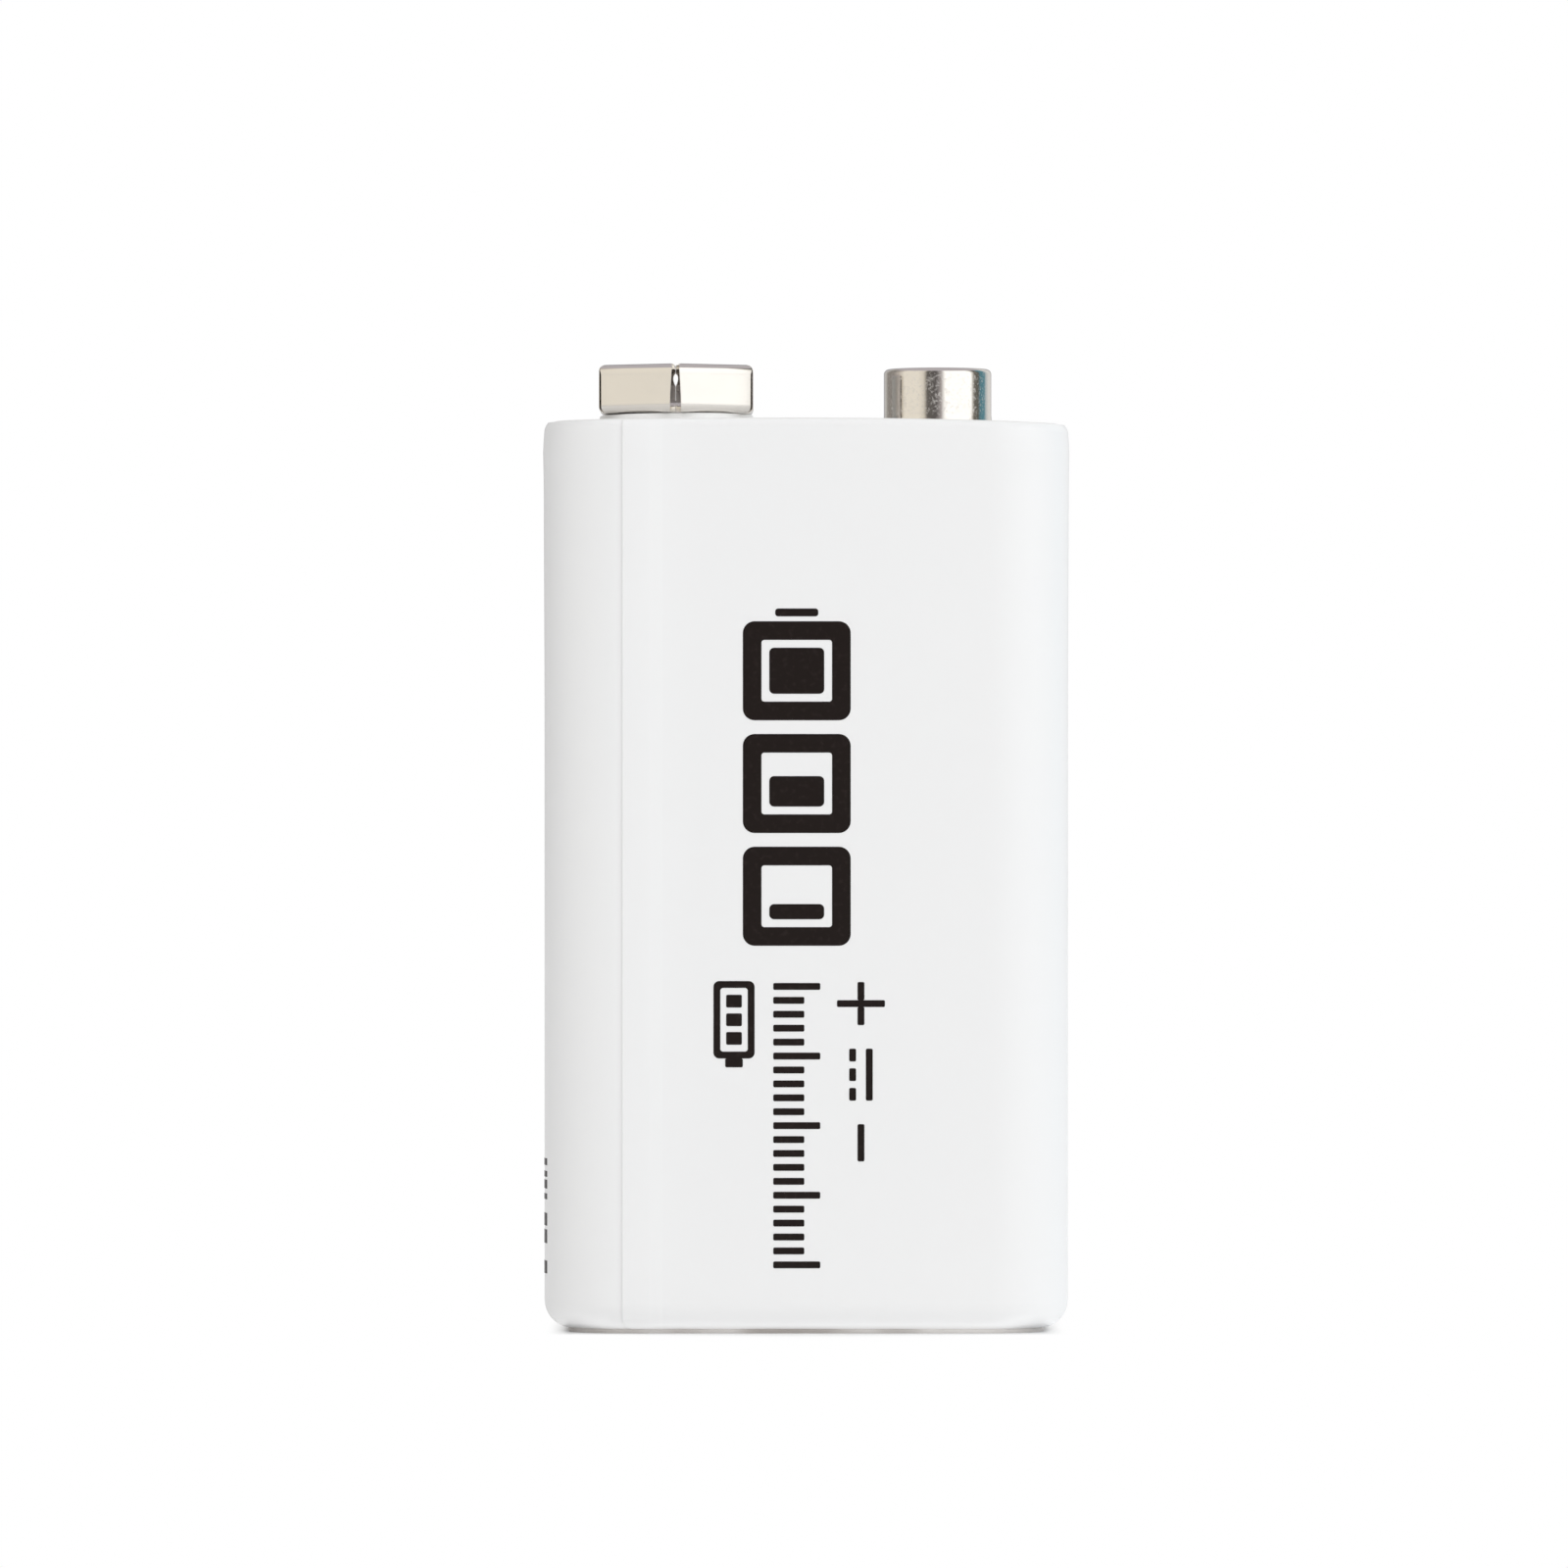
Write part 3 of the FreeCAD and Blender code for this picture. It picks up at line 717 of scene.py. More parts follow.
def springs(nickel):
    """How far the plate is rubbed off by connectors: on the lower half of the crown's springs."""
    x, y, z = nickel.axes(nickel.place())
    x = x + TERMINAL_X
    low, high = SPRING_LEVELS
    reach = SPRING_REACH ** 2, (SPRING_REACH + SPRING_SOFT) ** 2
    inside = 1 - nickel.ease(x * x + y * y, *reach)
    rise = nickel.ease(z, low, low + SPRING_SOFT)
    fall = nickel.ease(z, high - SPRING_SOFT, high)
    return SPRING_RUBBED * inside * rise * (1 - fall)


def stud_side_shade(nickel):
    """How far the plate is darkened as painted shade and made rougher: on the crown's outer wall that
    faces the stud.
    """
    across = nickel.axes(nickel.place())[0] + TERMINAL_X
    return nickel.ease(across, STUD_SIDE_FROM, STUD_SIDE_TO)


stud_nickel = nickel_finish("stud_nickel", NICKEL, 0.06, 0.19)
crown_nickel = nickel_finish("crown_nickel", NICKEL, 0.12, 0.02, worn=True)
rivet_nickel = nickel_finish("rivet_nickel", RIVET_METAL, 0.2, 0.1)
print("nickel:", [nickel.name for nickel in (stud_nickel, crown_nickel, rivet_nickel)])

# %% [markdown]
# The stud is a round skirt whose top rolls over into an inner wall, which ends in a seat for
# its rivet. The rolled rim is what a connector slides over, so it is smooth all round.

# %% Positive stud
STUD_FOOT_RADIUS = 2.7 * MM
STUD_RADIUS = 2.63 * MM
STUD_X = TERMINAL_X + 0.09 * MM
STUD_FLARE = 0.3 * MM
STUD_SINK = 0.12 * MM
STUD_HEIGHT = 2.63 * MM
STUD_FOLD = 0.6 * MM
STUD_BEND = 0.1 * MM
FLARE_BEND = 1.2 * MM


def stud_mesh():
    """The skirt with its slight flare at the foot, the narrow rolled rim, inner wall and seat."""
    foot = STUD_FOOT_RADIUS - SHEET / 2
    skirt = STUD_RADIUS - SHEET / 2
    inner = skirt - STUD_FOLD
    top = BODY_TOP + STUD_HEIGHT - SHEET / 2
    seat = BODY_TOP + SHEET / 2
    corners = [
        (foot, BODY_TOP - STUD_SINK), (skirt, BODY_TOP + STUD_FLARE),
        (skirt, top), (inner, top), (inner, seat), (RIVET_HOLE, seat),
    ]
    line = middle_line(corners, [FLARE_BEND] + [STUD_BEND] * 3)
    profile = [tuple(point) for point in sheet_outline(line, SHEET / 2)]
    return turned_solid("rolled_stud", profile, STUD_X)


dress(add_object("rolled_stud", stud_mesh()), stud_nickel, "nickel_plate", "positive_stud")

# %% [markdown]
# The crown is cut as a flat star. Its six petals are folded up, rolled in at the top and
# led down again as springs. Each petal here is a row of sheet outlines from one cut edge to
# the other. The outlines next to the edges are a little thinner, which rounds the cut edges.

# %% Negative crown
CROWN_HALF = 3.76 * MM
CROWN_HEIGHT = 2.37 * MM
CROWN_FOLD = 0.7 * MM
CROWN_BEND = 0.17 * MM
# A slit has a table for the petals' walls and one for their springs: heights, widths, in mm.
CORNER_SLITS = (((0.0, 0.2), (1.9, 0.18), (2.15, 0.05)), ((0.0, 0.1),))
FRONT_SLITS = (
    ((0.0, 0.54), (0.8, 0.5), (1.9, 0.38), (2.25, 0.34), (2.37, 0.44)),
    (
        (1.3, 0.015), (1.38, 0.12), (1.6, 0.24), (1.8, 0.2),
        (1.88, 0.015), (2.28, 0.015), (2.37, 0.3),
    ),
)
BACK_SLITS = (((0.0, 0.5),), ((0.0, 0.5),))
CROWN_GRIP = 2.6 * MM
CROWN_GRIP_HEIGHT = 1.0 * MM
LIP_FLARE = 0.2 * MM
LIP_END = 0.55 * MM
PETALS = 6
EDGE_SLITS = {
    (1, 1): BACK_SLITS, (2, -1): BACK_SLITS, (4, 1): FRONT_SLITS, (5, -1): FRONT_SLITS,
}
CUT_EDGE = 0.035 * MM
CUT_STEPS = 3
CROWN_SEAT = BODY_TOP + SEAT_HEIGHT
PLATE_SLACK = 0.01 * MM


def from_table(table, level):
    """A value between the rows of a table of levels and values, all in millimetres."""
    level /= MM
    if level <= table[0][0]:
        return table[0][1] * MM
    for (low, first), (high, second) in zip(table, table[1:]):
        if level <= high:
            return (first + (second - first) * (level - low) / (high - low)) * MM
    return table[-1][1] * MM


def slit_width(rho, z, slits):
    """The gap between two petals, from one table for their walls and one for their springs."""
    wall, spring = slits
    return from_table(wall if rho > CROWN_HALF - (CROWN_FOLD + SHEET) / 2 else spring, z)


def petal_mesh(n):
    """One petal as rings from cut edge to cut edge."""
    wall = CROWN_HALF - SHEET / 2
    grip = CROWN_GRIP + SHEET / 2
    plate = wall - CROWN_BEND
    corners = [
        (plate - SHEET, SHEET / 2),
        (wall, SHEET / 2),
        (wall, CROWN_HEIGHT - SHEET / 2),
        (wall - CROWN_FOLD, CROWN_HEIGHT - SHEET / 2),
        (grip, CROWN_GRIP_HEIGHT),
        (grip + LIP_FLARE, LIP_END),
    ]
    line = middle_line(corners, [CROWN_BEND] * 4)
    slope = math.tan(math.pi / PETALS)
    spin = Matrix.Rotation(2 * math.pi * n / PETALS, 3, "Z")
    shift = Vector((-TERMINAL_X, 0, CROWN_SEAT))
    edge = []
    for step in range(CUT_STEPS + 1):
        angle = math.pi / 2 * step / CUT_STEPS
        edge.append((CUT_EDGE * (1 - math.cos(angle)), CUT_EDGE * (1 - math.sin(angle))))
    rings = []
    for side in (-1, 1):
        slits = EDGE_SLITS.get((n, side), CORNER_SLITS)
        for back, thinner in edge[::-side]:
            ring = []
            for rho, z in sheet_outline(line, SHEET / 2 - thinner):
                width = (rho - slit_width(rho, z, slits)) * slope - back
                ring.append(spin @ Vector((rho, side * width, z)) + shift)
            rings.append(ring)
    return skin("petal", rings, False, folded=True)


def crown_mesh():
    """The six petals and the round plate that they are folded from."""
    petals = [petal_mesh(n) for n in range(PETALS)]
    radius = CROWN_HALF - SHEET / 2 - CROWN_BEND
    low = CROWN_SEAT + PLATE_SLACK
    high = low + SHEET
    profile = [(RIVET_HOLE, low), (radius, low), (radius, high), (RIVET_HOLE, high)]
    plate = turned_solid("plate", profile, -TERMINAL_X)
    return smooth(join("folded_crown", petals + [plate]))


dress(add_object("folded_crown", crown_mesh()), crown_nickel, "nickel_plate", "negative_crown")

# %% [markdown]
# A rivet holds each terminal down through the cover: a low domed head on the terminal's
# seat, a shank, and a tail spread under the strap. It is one profile turned round its axis.

# %% Rivets
HEAD_RADIUS = 1.35 * MM
HEAD_HEIGHT = 0.4 * MM
SHANK = 0.9 * MM
TAIL_TOP = 43.0 * MM
TAIL_BOTTOM = 42.65 * MM
DOME_STEPS = 12


def rivet_mesh(name, x, seat):
    """A rivet at x whose domed head lies on a seat."""
    profile = [(0, TAIL_BOTTOM)]
    for step in range(DOME_STEPS + 1):
        angle = math.pi / 2 * step / DOME_STEPS
        profile.append((HEAD_RADIUS * math.sin(angle), seat + HEAD_HEIGHT * math.cos(angle)))
    profile += [(SHANK, seat), (SHANK, TAIL_TOP), (HEAD_RADIUS, TAIL_TOP), (HEAD_RADIUS, TAIL_BOTTOM)]
    return turned_solid(name, profile, x)


for name, node, x, seat in (
    ("crown_rivet", "negative_rivet", -TERMINAL_X, CROWN_SEAT + SHEET),
    ("stud_rivet", "positive_rivet", TERMINAL_X, BODY_TOP + SHEET),
):
    rivet = add_object(name, rivet_mesh(name, x, seat))
    dress(rivet, rivet_nickel, "rivet_metal", node)

# %% [markdown]
# The print stands in generic shapes: a charge gauge of three steps, a ruled scale, the sign
# of a cell and the plus, minus and direct current signs. Real ink has a body of about a
# hundredth of a millimetre, so each mark is a thin closed plate that lies on the film. The
# places of the marks are in pixels of the photograph, from its upper left corner.

# %% Print
PIXEL = 1 / 21.18 * MM
INK_PROUD = 0.012 * MM
INK_SINK = 0.03 * MM
INK_STEPS = 8
INK_FACES = (-film_high.y + INK_SINK, -film_high.y - INK_PROUD)
INNER_CORNER, STROKE = 3, 7
GAUGE_LEFT, GAUGE_RIGHT, GAUGE_TOP = 758, 868, 634
STEP_HEIGHT, STEP_GAP = 101, 14
GAUGE_CORNER, GAUGE_STROKE = 12, 19
CORE_GAP, CORE_CORNER = 8, 5
CORE_SHARES = (1.0, 0.66, 0.33)
POLE_HALF, POLE_TOP, POLE_BOTTOM, POLE_CORNER = 22, 621, 629, 3
SCALE_LEFT, SCALE_RIGHT, SCALE_TOP, SCALE_BOTTOM = 789, 837, 1003, 1294
TICKS, LONG_EVERY, SHORT_SHARE = 21, 5, 0.66
SIGN_LEFT, SIGN_RIGHT = 854, 903
PLUS_TOP, PLUS_MIDDLE, PLUS_BOTTOM = 1002, 1024, 1046
DASH_TOPS, DASH, LINE_BOTTOM = (1070, 1090, 1110), 13, 1123
CURRENT_NEAR, CURRENT_FAR = 5, 12
MINUS_TOP, MINUS_BOTTOM = 1147, 1185
CELL_LEFT, CELL_RIGHT, CELL_TOP, CELL_BOTTOM = 728, 770, 1001, 1080
CELL_CORNER, CELL_POLE = 6, 9
BARS, BAR, BAR_INSET, BAR_FIRST, BAR_PACE = 3, 13, 13, 14, 19


def film_x(pixel_x):
    """Where a column of the photograph falls on the front of the film."""
    return CAMERA_PLACE.x + (pixel_x - IMAGE_SIZE / 2) * PIXEL


def film_z(pixel_y):
    """Where a row of the photograph falls on the front of the film."""
    return CAMERA_PLACE.z - (pixel_y - IMAGE_SIZE / 2) * PIXEL


def rounded_outline(x_low, x_high, y_low, y_high, corner):
    """A rounded rectangle in picture places, as points of the front."""
    outline = []
    for quarter, (x, y) in enumerate((
        (x_high - corner, y_low + corner), (x_low + corner, y_low + corner),
        (x_low + corner, y_high - corner), (x_high - corner, y_high - corner),
    )):
        for step in range(INK_STEPS + 1):
            angle = math.pi / 2 * (quarter + step / INK_STEPS)
            across, down = x + corner * math.cos(angle), y - corner * math.sin(angle)
            outline.append((film_x(across), film_z(down)))
    return outline


def ink_ring(outline, y):
    """An outline of the front at one depth."""
    return [(x, y, z) for x, z in outline]


def ink_plate(x_low, x_high, y_low, y_high, corner=1.5):
    """A solid printed block."""
    outline = rounded_outline(x_low, x_high, y_low, y_high, corner)
    return skin("ink", [ink_ring(outline, y) for y in INK_FACES], False)


def ink_frame(x_low, x_high, y_low, y_high, corner, stroke):
    """A printed frame with an even stroke."""
    outer = rounded_outline(x_low, x_high, y_low, y_high, corner)
    inner = rounded_outline(
        x_low + stroke, x_high - stroke, y_low + stroke, y_high - stroke, INNER_CORNER,
    )
    low, high = INK_FACES
    path = ((outer, low), (outer, high), (inner, high), (inner, low))
    return skin("ink", [ink_ring(outline, y) for outline, y in path], True)


def gauge_mesh():
    """Three steps of a charge gauge, full, two thirds and one third, under a short pole."""
    middle = (GAUGE_LEFT + GAUGE_RIGHT) / 2
    marks = [ink_plate(middle - POLE_HALF, middle + POLE_HALF, POLE_TOP, POLE_BOTTOM, POLE_CORNER)]
    inset = GAUGE_STROKE + CORE_GAP
    left, right, reach = GAUGE_LEFT + inset, GAUGE_RIGHT - inset, STEP_HEIGHT - 2 * inset
    top = GAUGE_TOP
    for share in CORE_SHARES:
        bottom = top + STEP_HEIGHT
        marks.append(ink_frame(GAUGE_LEFT, GAUGE_RIGHT, top, bottom, GAUGE_CORNER, GAUGE_STROKE))
        core = bottom - inset
        marks.append(ink_plate(left, right, core - reach * share, core, CORE_CORNER))
        top = bottom + STEP_GAP
    return join("charge_gauge", marks)


def ruled_mesh():
    """A ruled scale in the middle column: long ticks at the fives and short ones between."""
    marks = []
    for n in range(TICKS):
        y = SCALE_TOP + (SCALE_BOTTOM - SCALE_TOP - STROKE) * n / (TICKS - 1)
        share = SHORT_SHARE if n % LONG_EVERY else 1
        reach = SCALE_LEFT + (SCALE_RIGHT - SCALE_LEFT) * share
        marks.append(ink_plate(SCALE_LEFT, reach, y, y + STROKE))
    return join("ruled_scale", marks)


def sign_mesh():
    """The plus, direct current and minus signs in the right column."""
    middle = (SIGN_LEFT + SIGN_RIGHT) / 2
    half = STROKE / 2
    marks = [ink_plate(SIGN_LEFT, SIGN_RIGHT, PLUS_MIDDLE - half, PLUS_MIDDLE + half)]
    for low, high in (
        (PLUS_TOP, PLUS_MIDDLE - half), (PLUS_MIDDLE + half, PLUS_BOTTOM), (MINUS_TOP, MINUS_BOTTOM),
    ):
        marks.append(ink_plate(middle - half, middle + half, low, high))
    for top in DASH_TOPS:
        marks.append(ink_plate(middle - CURRENT_FAR, middle - CURRENT_NEAR, top, top + DASH))
    near, far = middle + CURRENT_NEAR, middle + CURRENT_FAR
    marks.append(ink_plate(near, far, DASH_TOPS[0], LINE_BOTTOM))
    return join("pole_signs", marks)


def cell_mesh():
    """A small sign of a cell in the left column, pole down, with three bars in it."""
    middle = (CELL_LEFT + CELL_RIGHT) / 2
    marks = [
        ink_frame(CELL_LEFT, CELL_RIGHT, CELL_TOP, CELL_BOTTOM, CELL_CORNER, STROKE),
        ink_plate(middle - CELL_POLE, middle + CELL_POLE, CELL_BOTTOM, CELL_BOTTOM + CELL_POLE),
    ]
    for n in range(BARS):
        y = CELL_TOP + BAR_FIRST + BAR_PACE * n
        marks.append(ink_plate(CELL_LEFT + BAR_INSET, CELL_RIGHT - BAR_INSET, y, y + BAR))
    return join("cell_sign", marks)


def ink_finish():
    """Black screen ink: dense, slightly warm, with pinholes of thinner ink and a soft gloss."""
    ink = new_finish("black_print_ink")
    cover = ink.ease(ink.noise(3500, 3), 0.25, 0.5)
    return ink.principled(
        Base_Color=ink.blend(cover, (0.014, 0.008, 0.007), (0.007, 0.003, 0.002)),
        Roughness=0.3 + 0.1 * ink.noise(2500, 2),
        IOR=1.3,
        Normal=ink.relief(ink.noise(6000, 2), 0.001 * MM),
    )


black_ink = ink_finish()
for make in (gauge_mesh, ruled_mesh, sign_mesh, cell_mesh):
    marks = smooth(make())
    dress(add_object(marks.name, marks), black_ink, "white_film")

# %% [markdown]
# Ticks run down the rounded left edge too, where the film turns towards the side. They
# follow the corner, so they are cut from the same level outlines as the film.

# %% Edge ticks
TICK_ROWS = (
    (1184, 1191), (1197, 1203), (1206, 1215), (1220, 1226), (1240, 1253), (1257, 1271), (1289, 1302),
)
TICK_FROM, TICK_TO = math.radians(196), math.radians(180)
TICK_SIDE = 3.0 * MM
TICK_STEPS = 6


def edge_ticks_mesh():
    """Ticks that run round the front left corner and a little way along the side."""
    centre = Vector((CASE_CORNER - CASE_HALF_WIDTH, CASE_CORNER - CASE_HALF_DEPTH))
    path = []
    for step in range(TICK_STEPS + 1):
        angle = TICK_FROM + (TICK_TO - TICK_FROM) * step / TICK_STEPS
        path.append((centre, Vector((math.cos(angle), math.sin(angle)))))
    path.append((centre + Vector((0, TICK_SIDE)), Vector((-1, 0))))
    marks = []
    for top, bottom in TICK_ROWS:
        outline = ((-INK_SINK, top), (INK_PROUD, top), (INK_PROUD, bottom), (-INK_SINK, bottom))
        rings = []
        for core, out in path:
            spots = [(core + out * (CASE_CORNER + FILM + proud), row) for proud, row in outline]
            rings.append([(spot.x, spot.y, film_z(row)) for spot, row in spots])
        marks.append(skin("tick", rings, False))
    return join("edge_ticks", marks)


dress(add_object("edge_ticks", smooth(edge_ticks_mesh())), black_ink, "white_film")

# %% [markdown]
# What is inside stays hidden in the finished battery, but anyone who opens the model should
# find real materials. Each inner node keeps its CAD mesh and gets a finish of its own.

# %% Inner finishes
def strip_finish(name, colour, roughness):
    """Rolled metal strip: long fine lines from the rollers."""
    strip = new_finish(name)
    lines = strip.noise(4000, 2, (0.05, 1, 1))
    return strip.principled(
        Base_Color=strip.blend(strip.noise(700, 2), tuple(0.9 * part for part in colour), colour),
        Metallic=1.0,
        Roughness=roughness + 0.15 * lines,
        Normal=strip.relief(lines, 0.002 * MM),
    )


def board_finish():
    """Green solder mask: copper tracks show through it as lighter green."""
    board = new_finish("green_board")
    spread = board.node(
        "ShaderNodeVectorMath", {"operation": "MULTIPLY"}, {0: board.place(), 1: (450, 450, 0)},
    )
    cells = board.node(
        "ShaderNodeTexVoronoi", {"feature": "DISTANCE_TO_EDGE", "distance": "EUCLIDEAN"},
        {"Vector": spread, "Scale": 1.0, "Randomness": 0.6},
    )
    track = 1 - board.ease(cells, 0.08, 0.13)
    return board.principled(
        Base_Color=board.blend(track, (0.018, 0.13, 0.06), (0.05, 0.27, 0.13)),
        Roughness=0.3 + 0.1 * board.noise(900, 2),
        Coat_Weight=0.3,
        Normal=board.relief(track, 0.02 * MM),
    )


def resin_finish():
    """Black chip resin: a fine mineral filler breaks up its surface."""
    resin = new_finish("black_chip_resin")
    filler = resin.noise(9000, 3)
    return resin.principled(
        Base_Color=resin.blend(filler, (0.018, 0.018, 0.018), (0.04, 0.04, 0.041)),
        Roughness=0.5 + 0.15 * filler,
        Normal=resin.relief(filler, 0.004 * MM),
    )


def capped_finish(name, colour, cap_share):
    """A small soldered part: tinned over each end, its own colour between."""
    part = new_finish(name)
    along = part.axes(part.node("ShaderNodeTexCoord", output="Generated"))[0]
    ends = (along < cap_share) + (along > 1 - cap_share)
    grain = part.noise(5000, 3)
    body = part.blend(grain, tuple(0.8 * value for value in colour), colour)
    return part.principled(
        Base_Color=part.blend(ends, body, (0.72, 0.72, 0.71)),
        Metallic=ends,
        Roughness=0.3 + 0.15 * grain,
        Normal=part.relief(grain, 0.004 * MM),
    )


def foil_finish():
    """Laminated pouch foil: pressed flat, with a faint crinkle."""
    foil = new_finish("pouch_foil")
    crinkle = foil.noise(260, 4, (1, 1, 1), 1.2)
    return foil.principled(
        Base_Color=foil.blend(crinkle, (0.55, 0.56, 0.58), (0.68, 0.69, 0.7)),
        Metallic=0.9,
        Roughness=0.35 + 0.12 * foil.noise(1400, 2),
        Normal=foil.relief(crinkle, 0.05 * MM),
    )


def soft_finish(name, light, dark, scale, depth, roughness):
    """A matt sheet whose grain is the pores of a foam or the fibres of a card."""
    soft = new_finish(name)
    grain = soft.noise(scale, 4)
    return soft.principled(
        Base_Color=soft.blend(soft.ease(grain, 0.35, 0.65), dark, light),
        Roughness=roughness + 0.08 * grain,
        Normal=soft.relief(grain, depth),
    )


PAINTED_SHADE_LEVELS = (0.2 * MM, 0.3 * MM)
CAP_SHARE, FUSE_CAP_SHARE = 0.19, 0.067


def case_finish():
    """Moulded white plastic whose foot, the rim it stands on, is painted a patchy grey as shade."""
    case = new_finish("moulded_white_case")
    # Painted shade: the foot is darkened to a patchy grey for the shade in the gap under the heel.
    painted_shade = 1 - case.ease(case.axes(case.place())[2], *PAINTED_SHADE_LEVELS)
    shade_patches = case.ease(case.noise(180, 2, (1, 1, 0)), 0.35, 0.65)
    foot = case.blend(shade_patches, (0.4, 0.37, 0.35), (0.78, 0.76, 0.74))
    height = case.noise(9000, 3) * 0.6 + case.noise(500, 1)
    return case.principled(
        Base_Color=case.blend(painted_shade, (0.84, 0.84, 0.82), foot),
        Roughness=0.42 + 0.1 * case.noise(1500, 2),
        Normal=case.relief(height, PLASTIC_RELIEF),
    )


resistors = capped_finish("resistor_ceramic", (0.035, 0.035, 0.04), CAP_SHARE)
capacitors = capped_finish("capacitor_ceramic", (0.45, 0.31, 0.18), CAP_SHARE)
fuse = capped_finish("fuse_body", (0.02, 0.09, 0.05), FUSE_CAP_SHARE)
adhesive = soft_finish(
    "adhesive_sheet", (0.66, 0.64, 0.58), (0.55, 0.53, 0.47), 900, 0.01 * MM, 0.5,
)
card = soft_finish("insulating_card", (0.6, 0.48, 0.31), (0.47, 0.37, 0.23), 2500, 0.01 * MM, 0.7)
foam = soft_finish("grey_foam", (0.15, 0.15, 0.155), (0.07, 0.07, 0.075), 3800, 0.06 * MM, 0.85)
nickel_strip = strip_finish("nickel_strip", (0.66, 0.65, 0.62), 0.25)
aluminium_strip = strip_finish("aluminium_strip", (0.78, 0.79, 0.8), 0.3)
inner_finishes = (
    (case_finish(), "case_shell"),
    (nickel_strip, "negative_strap", "positive_strap", "front_negative_tab", "rear_negative_tab"),
    (aluminium_strip, "front_positive_tab", "rear_positive_tab"),
    (board_finish(), "protection_board"),
    (resin_finish(), "protection_chip", "switch_chip"),
    (fuse, "resettable_fuse"),
    (resistors, "resistor_1", "resistor_2", "resistor_3"),
    (capacitors, "capacitor_1", "capacitor_2"),
    (foil_finish(), "front_cell", "rear_cell"),
    (adhesive, "cell_adhesive"),
    (card, "tab_insulator"),
    (foam, "front_foam_strip", "rear_foam_strip", "bottom_cushion"),
)
for material, *names in inner_finishes:
    for name in names:
        for place in frame["nodes"][name].material_slots:
            place.material = material
print("inner finishes:", sum(len(row) - 1 for row in inner_finishes), "nodes")

# %% [markdown]
# The battery stands on white paper, and the photograph shows only the thin dark line under it. The
# paper glows a little, except under the battery, and more in a narrow ring just off the foot: painted
# light that lights the heel from below. For the camera it is lifted towards white, more so further
# out and towards the corners, so that only the shadow at the foot stays dark.

# %% Floor
FLOOR_REACH = 6.0
PAPER_WHITE = (0.85, 0.85, 0.85)
PAPER_SEEN = (0.8, 0.8, 0.8)
SHADE_INSET = 0.98 * MM
WIDE_PAINTED_GLOW, NEAR_PAINTED_GLOW = 0.13, 0.39
NEAR_FROM, NEAR_TO = 0.05 * MM, 0.25 * MM
NEAR_LESS, NEAR_GONE = 0.45 * MM, 0.85 * MM
SIDE_INSET, SIDE_PACE = 1.5 * MM, 3
CORNER_PACE = 1.6
LIFT_FROM, LIFT_TO = 0.7 * MM, 4.4 * MM
LIFT_BEND = 0.5


def paper_finish():
    """White paper: one shader for the light that it gives, one for how the camera sees it."""
    paper = new_finish("white_paper")
    x, y, z = paper.axes(paper.place())

    def beyond(along, half):
        return paper.maths("MAXIMUM", paper.maths("ABSOLUTE", along) - half, 0.0)

    def length(across, deep):
        return paper.maths("SQRT", across * across + deep * deep)

    deep = beyond(y, film_high.y - SHADE_INSET)
    from_foot = length(beyond(x, film_high.x - SHADE_INSET), deep)
    fading = 1 - paper.ease(from_foot, NEAR_LESS, NEAR_GONE)
    near = paper.ease(from_foot, NEAR_FROM, NEAR_TO) * fading
    # Painted light: the paper glows, widely and in a strong ring just off the foot, to light the heel
    # from below.
    painted_glow = WIDE_PAINTED_GLOW * paper.ease(from_foot, NEAR_FROM, NEAR_GONE) + NEAR_PAINTED_GLOW * near
    aside = (1 / film_high.x) * x
    outwards = length(
        SIDE_PACE * beyond(x, film_high.x - SIDE_INSET),
        deep + CORNER_PACE * aside * aside * deep,
    )
    lift = paper.maths("POWER", paper.ease(outwards, LIFT_FROM, LIFT_TO), LIFT_BEND)
    unseen = paper.node("ShaderNodeAddShader", {}, {
        0: paper.node("ShaderNodeBsdfDiffuse", {}, {"Color": PAPER_WHITE}),
        1: paper.node("ShaderNodeEmission", {}, {"Color": painted_glow, "Strength": 1.0}),
    })
    seen = paper.node("ShaderNodeMixShader", {}, {
        0: lift,
        1: paper.node("ShaderNodeBsdfDiffuse", {}, {"Color": PAPER_SEEN}),
        2: paper.node("ShaderNodeEmission", {}, {"Color": (1.0, 1.0, 1.0), "Strength": 1.0}),
    })
    camera_ray, = paper.rays("Camera")
    return paper.surface(
        paper.node("ShaderNodeMixShader", {}, {0: camera_ray, 1: unseen, 2: seen})
    )


corners = [(x * FLOOR_REACH, y * FLOOR_REACH, 0) for x, y in ((-1, -1), (1, -1), (1, 1), (-1, 1))]
floor_mesh = bpy.data.meshes.new("paper_floor")
floor_mesh.from_pydata(corners, [], [(0, 1, 2, 3)])
floor = add_object("paper_floor", floor_mesh)
floor_mesh.materials.append(paper_finish())
floor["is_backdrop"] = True
print("floor:", 2 * FLOOR_REACH, "m of white paper")

# %% [markdown]
# Shiny metal shows the room it stands in. A dome round the battery carries that room: white
# walls, a warm panel on the left, a soft box on the right, and the dark gaps between them.
# Only reflections see the dome. It lights nothing else, and the camera looks through it.

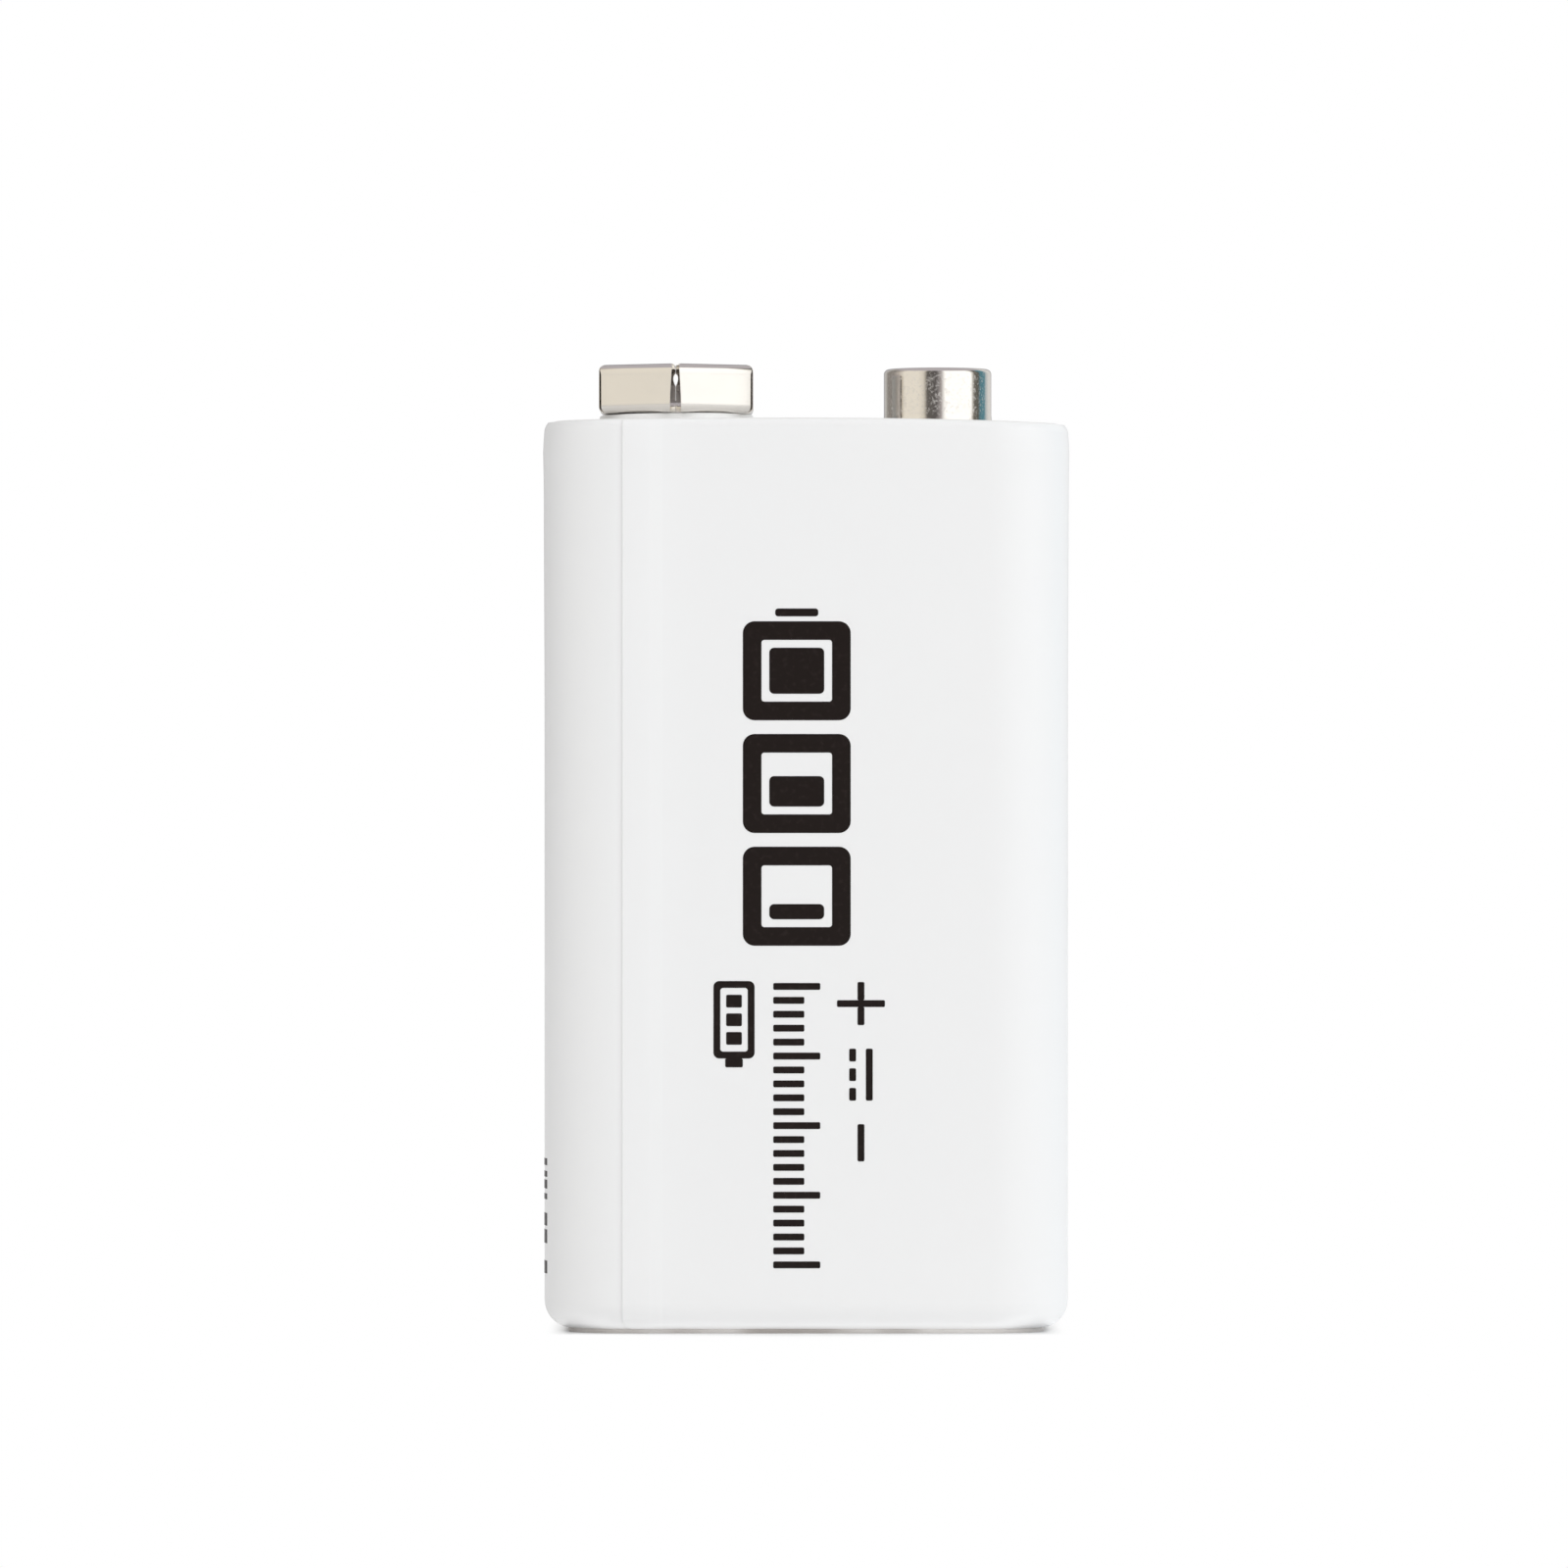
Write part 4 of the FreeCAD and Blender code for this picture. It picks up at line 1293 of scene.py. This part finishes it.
# %% Reflection dome
DOME_RADIUS = 3.0
DOME_FOOT = math.radians(-10)
DOME_ROWS, DOME_COLUMNS = 16, 96
DOME_STRENGTH = 1.4
ROOM = (
    (-180, (0.30, 0.29, 0.31)),
    (-165, (0.45, 0.44, 0.45)),
    (-150, (0.60, 0.59, 0.57)),
    (-135, (0.30, 0.28, 0.26)),
    (-112, (0.30, 0.28, 0.26)),
    (-92, (0.60, 0.55, 0.50)),
    (-78, (0.95, 0.90, 0.80)),
    (-42, (0.95, 0.90, 0.80)),
    (-31, (0.80, 0.75, 0.66)),
    (-23, (0.14, 0.13, 0.12)),
    (-3, (0.13, 0.12, 0.12)),
    (7, (0.45, 0.42, 0.42)),
    (16, (1.40, 1.40, 1.38)),
    (76, (1.40, 1.40, 1.38)),
    (82, (0.45, 0.43, 0.38)),
    (86, (0.17, 0.16, 0.14)),
    (98, (0.13, 0.13, 0.11)),
    (104, (0.11, 0.25, 0.31)),
    (120, (0.13, 0.29, 0.35)),
    (127, (0.55, 0.60, 0.62)),
    (140, (0.80, 0.79, 0.77)),
    (155, (0.80, 0.79, 0.77)),
    (168, (0.45, 0.44, 0.45)),
    (180, (0.30, 0.29, 0.31)),
)
CEILING = (0.55, 0.52, 0.55)
CEILING_FROM, CEILING_TO = 34, 48


def dome_finish():
    """Glowing walls whose colour changes round the room, under a plain ceiling."""
    room = new_finish("studio_room")
    x, y, z = room.axes(room.place())

    def glowing(colour):
        return tuple(part / DOME_STRENGTH for part in colour)

    share = room.maths("ARCTAN2", x, 0.0 - y) * (0.5 / math.pi) + 0.5
    stops = [((angle + 180) / 360, glowing(colour)) for angle, colour in ROOM]
    walls = room.node("ShaderNodeValToRGB", {"stops": stops}, {0: share})
    height = room.maths("ARCSINE", z * (1 / DOME_RADIUS))
    above = room.ease(height, math.radians(CEILING_FROM), math.radians(CEILING_TO))
    colour = room.blend(above, walls, glowing(CEILING))
    return room.surface(
        room.node("ShaderNodeEmission", {}, {"Color": colour, "Strength": DOME_STRENGTH})
    )


def dome_mesh():
    """A round shell from a little under the floor to straight above."""
    rings = []
    for step in range(DOME_ROWS + 1):
        lift = DOME_FOOT + (math.pi / 2 - DOME_FOOT) * step / DOME_ROWS
        reach, height = DOME_RADIUS * math.cos(lift), DOME_RADIUS * math.sin(lift)
        turns = [2 * math.pi * n / DOME_COLUMNS for n in range(DOME_COLUMNS)]
        rings.append([(reach * math.cos(turn), reach * math.sin(turn), height) for turn in turns])
    return skin("reflection_dome", rings, False)


dome = add_object("reflection_dome", dome_mesh())
dome_material = dome_finish()
dome_material.cycles.emission_sampling = "NONE"
dome.data.materials.append(dome_material)
for kind in ("camera", "diffuse", "transmission", "volume_scatter", "shadow"):
    setattr(dome, f"visible_{kind}", False)
dome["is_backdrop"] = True
print("dome:", len(ROOM), "bands round the battery")

# %% [markdown]
# Soft light comes from the air all round, and six large lamps shape it. The key lamp on the
# front right lights the front and the right edge alike, which leaves the left edge darker, as
# in the photograph. One lamp stands behind, so that the back isn't grey. Their power is set so
# that a colour renders about as it is written.

# %% Air and lamps
AIR_STRENGTH = 0.49
WHITE = (1.0, 1.0, 1.0)
# Name, azimuth and elevation in degrees, distance and size in metres, power in watts, colour.
LAMPS = (
    ("key_lamp", 48, 16, 0.5, 0.4, 0.455, (1.0, 0.995, 0.985)),
    ("low_lamp", 0, 3, 1.2, 0.5, 1.75, WHITE),
    ("fill_lamp", -60, 20, 1.0, 0.8, 0.48, (1.0, 0.87, 0.72)),
    ("side_lamp", 105, 16, 1.0, 0.7, 2.2, (0.86, 0.94, 1.0)),
    ("top_lamp", 5, 66, 1.0, 0.9, 3.5, WHITE),
    ("back_lamp", 180, 18, 1.2, 0.9, 2.6, WHITE),
)
AIM = Vector((0, 0, 22)) * MM


def air():
    """A world that lights gently, and is plain white where it is seen or mirrored."""
    finish = Finish(bpy.data.worlds.new("studio_air"))
    camera_ray, glossy_ray, clear_ray = finish.rays("Camera", "Glossy", "Transmission")
    fill, clear = (
        finish.node("ShaderNodeBackground", {}, {"Color": WHITE, "Strength": strength})
        for strength in (AIR_STRENGTH, 1.0)
    )
    seen = camera_ray + glossy_ray + clear_ray
    return finish.surface(finish.node("ShaderNodeMixShader", {}, {0: seen, 1: fill, 2: clear}))


scene.world = air()
for name, azimuth, elevation, distance, size, power, colour in LAMPS:
    lamp_data = bpy.data.lights.new(name, "AREA")
    lamp_data.shape = "SQUARE"
    lamp_data.size = size
    lamp_data.energy = power
    lamp_data.color = colour
    lamp = bpy.data.objects.new(name, lamp_data)
    a, e = math.radians(azimuth), math.radians(elevation)
    away = Vector((math.sin(a) * math.cos(e), -math.cos(a) * math.cos(e), math.sin(e)))
    lamp.location = AIM + away * distance
    lamp.rotation_euler = away.to_track_quat("Z", "Y").to_euler()
    lamp.visible_glossy = False
    scene.collection.objects.link(lamp)
print("lamps:", [lamp[0] for lamp in LAMPS])

# %% [markdown]
# The picture keeps plain colours, so the view transform is Standard and nothing else in the view
# settings is changed. The last step prints how far the dressed battery has grown past the frame on
# each side, which should be little.

# %% Finish
scene.view_settings.view_transform = "Standard"
low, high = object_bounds()
for side, grown in (("low", cad_low - low), ("high", high - cad_high)):
    print(side, "side grown by", [round(v / MM, 3) for v in grown], "mm")
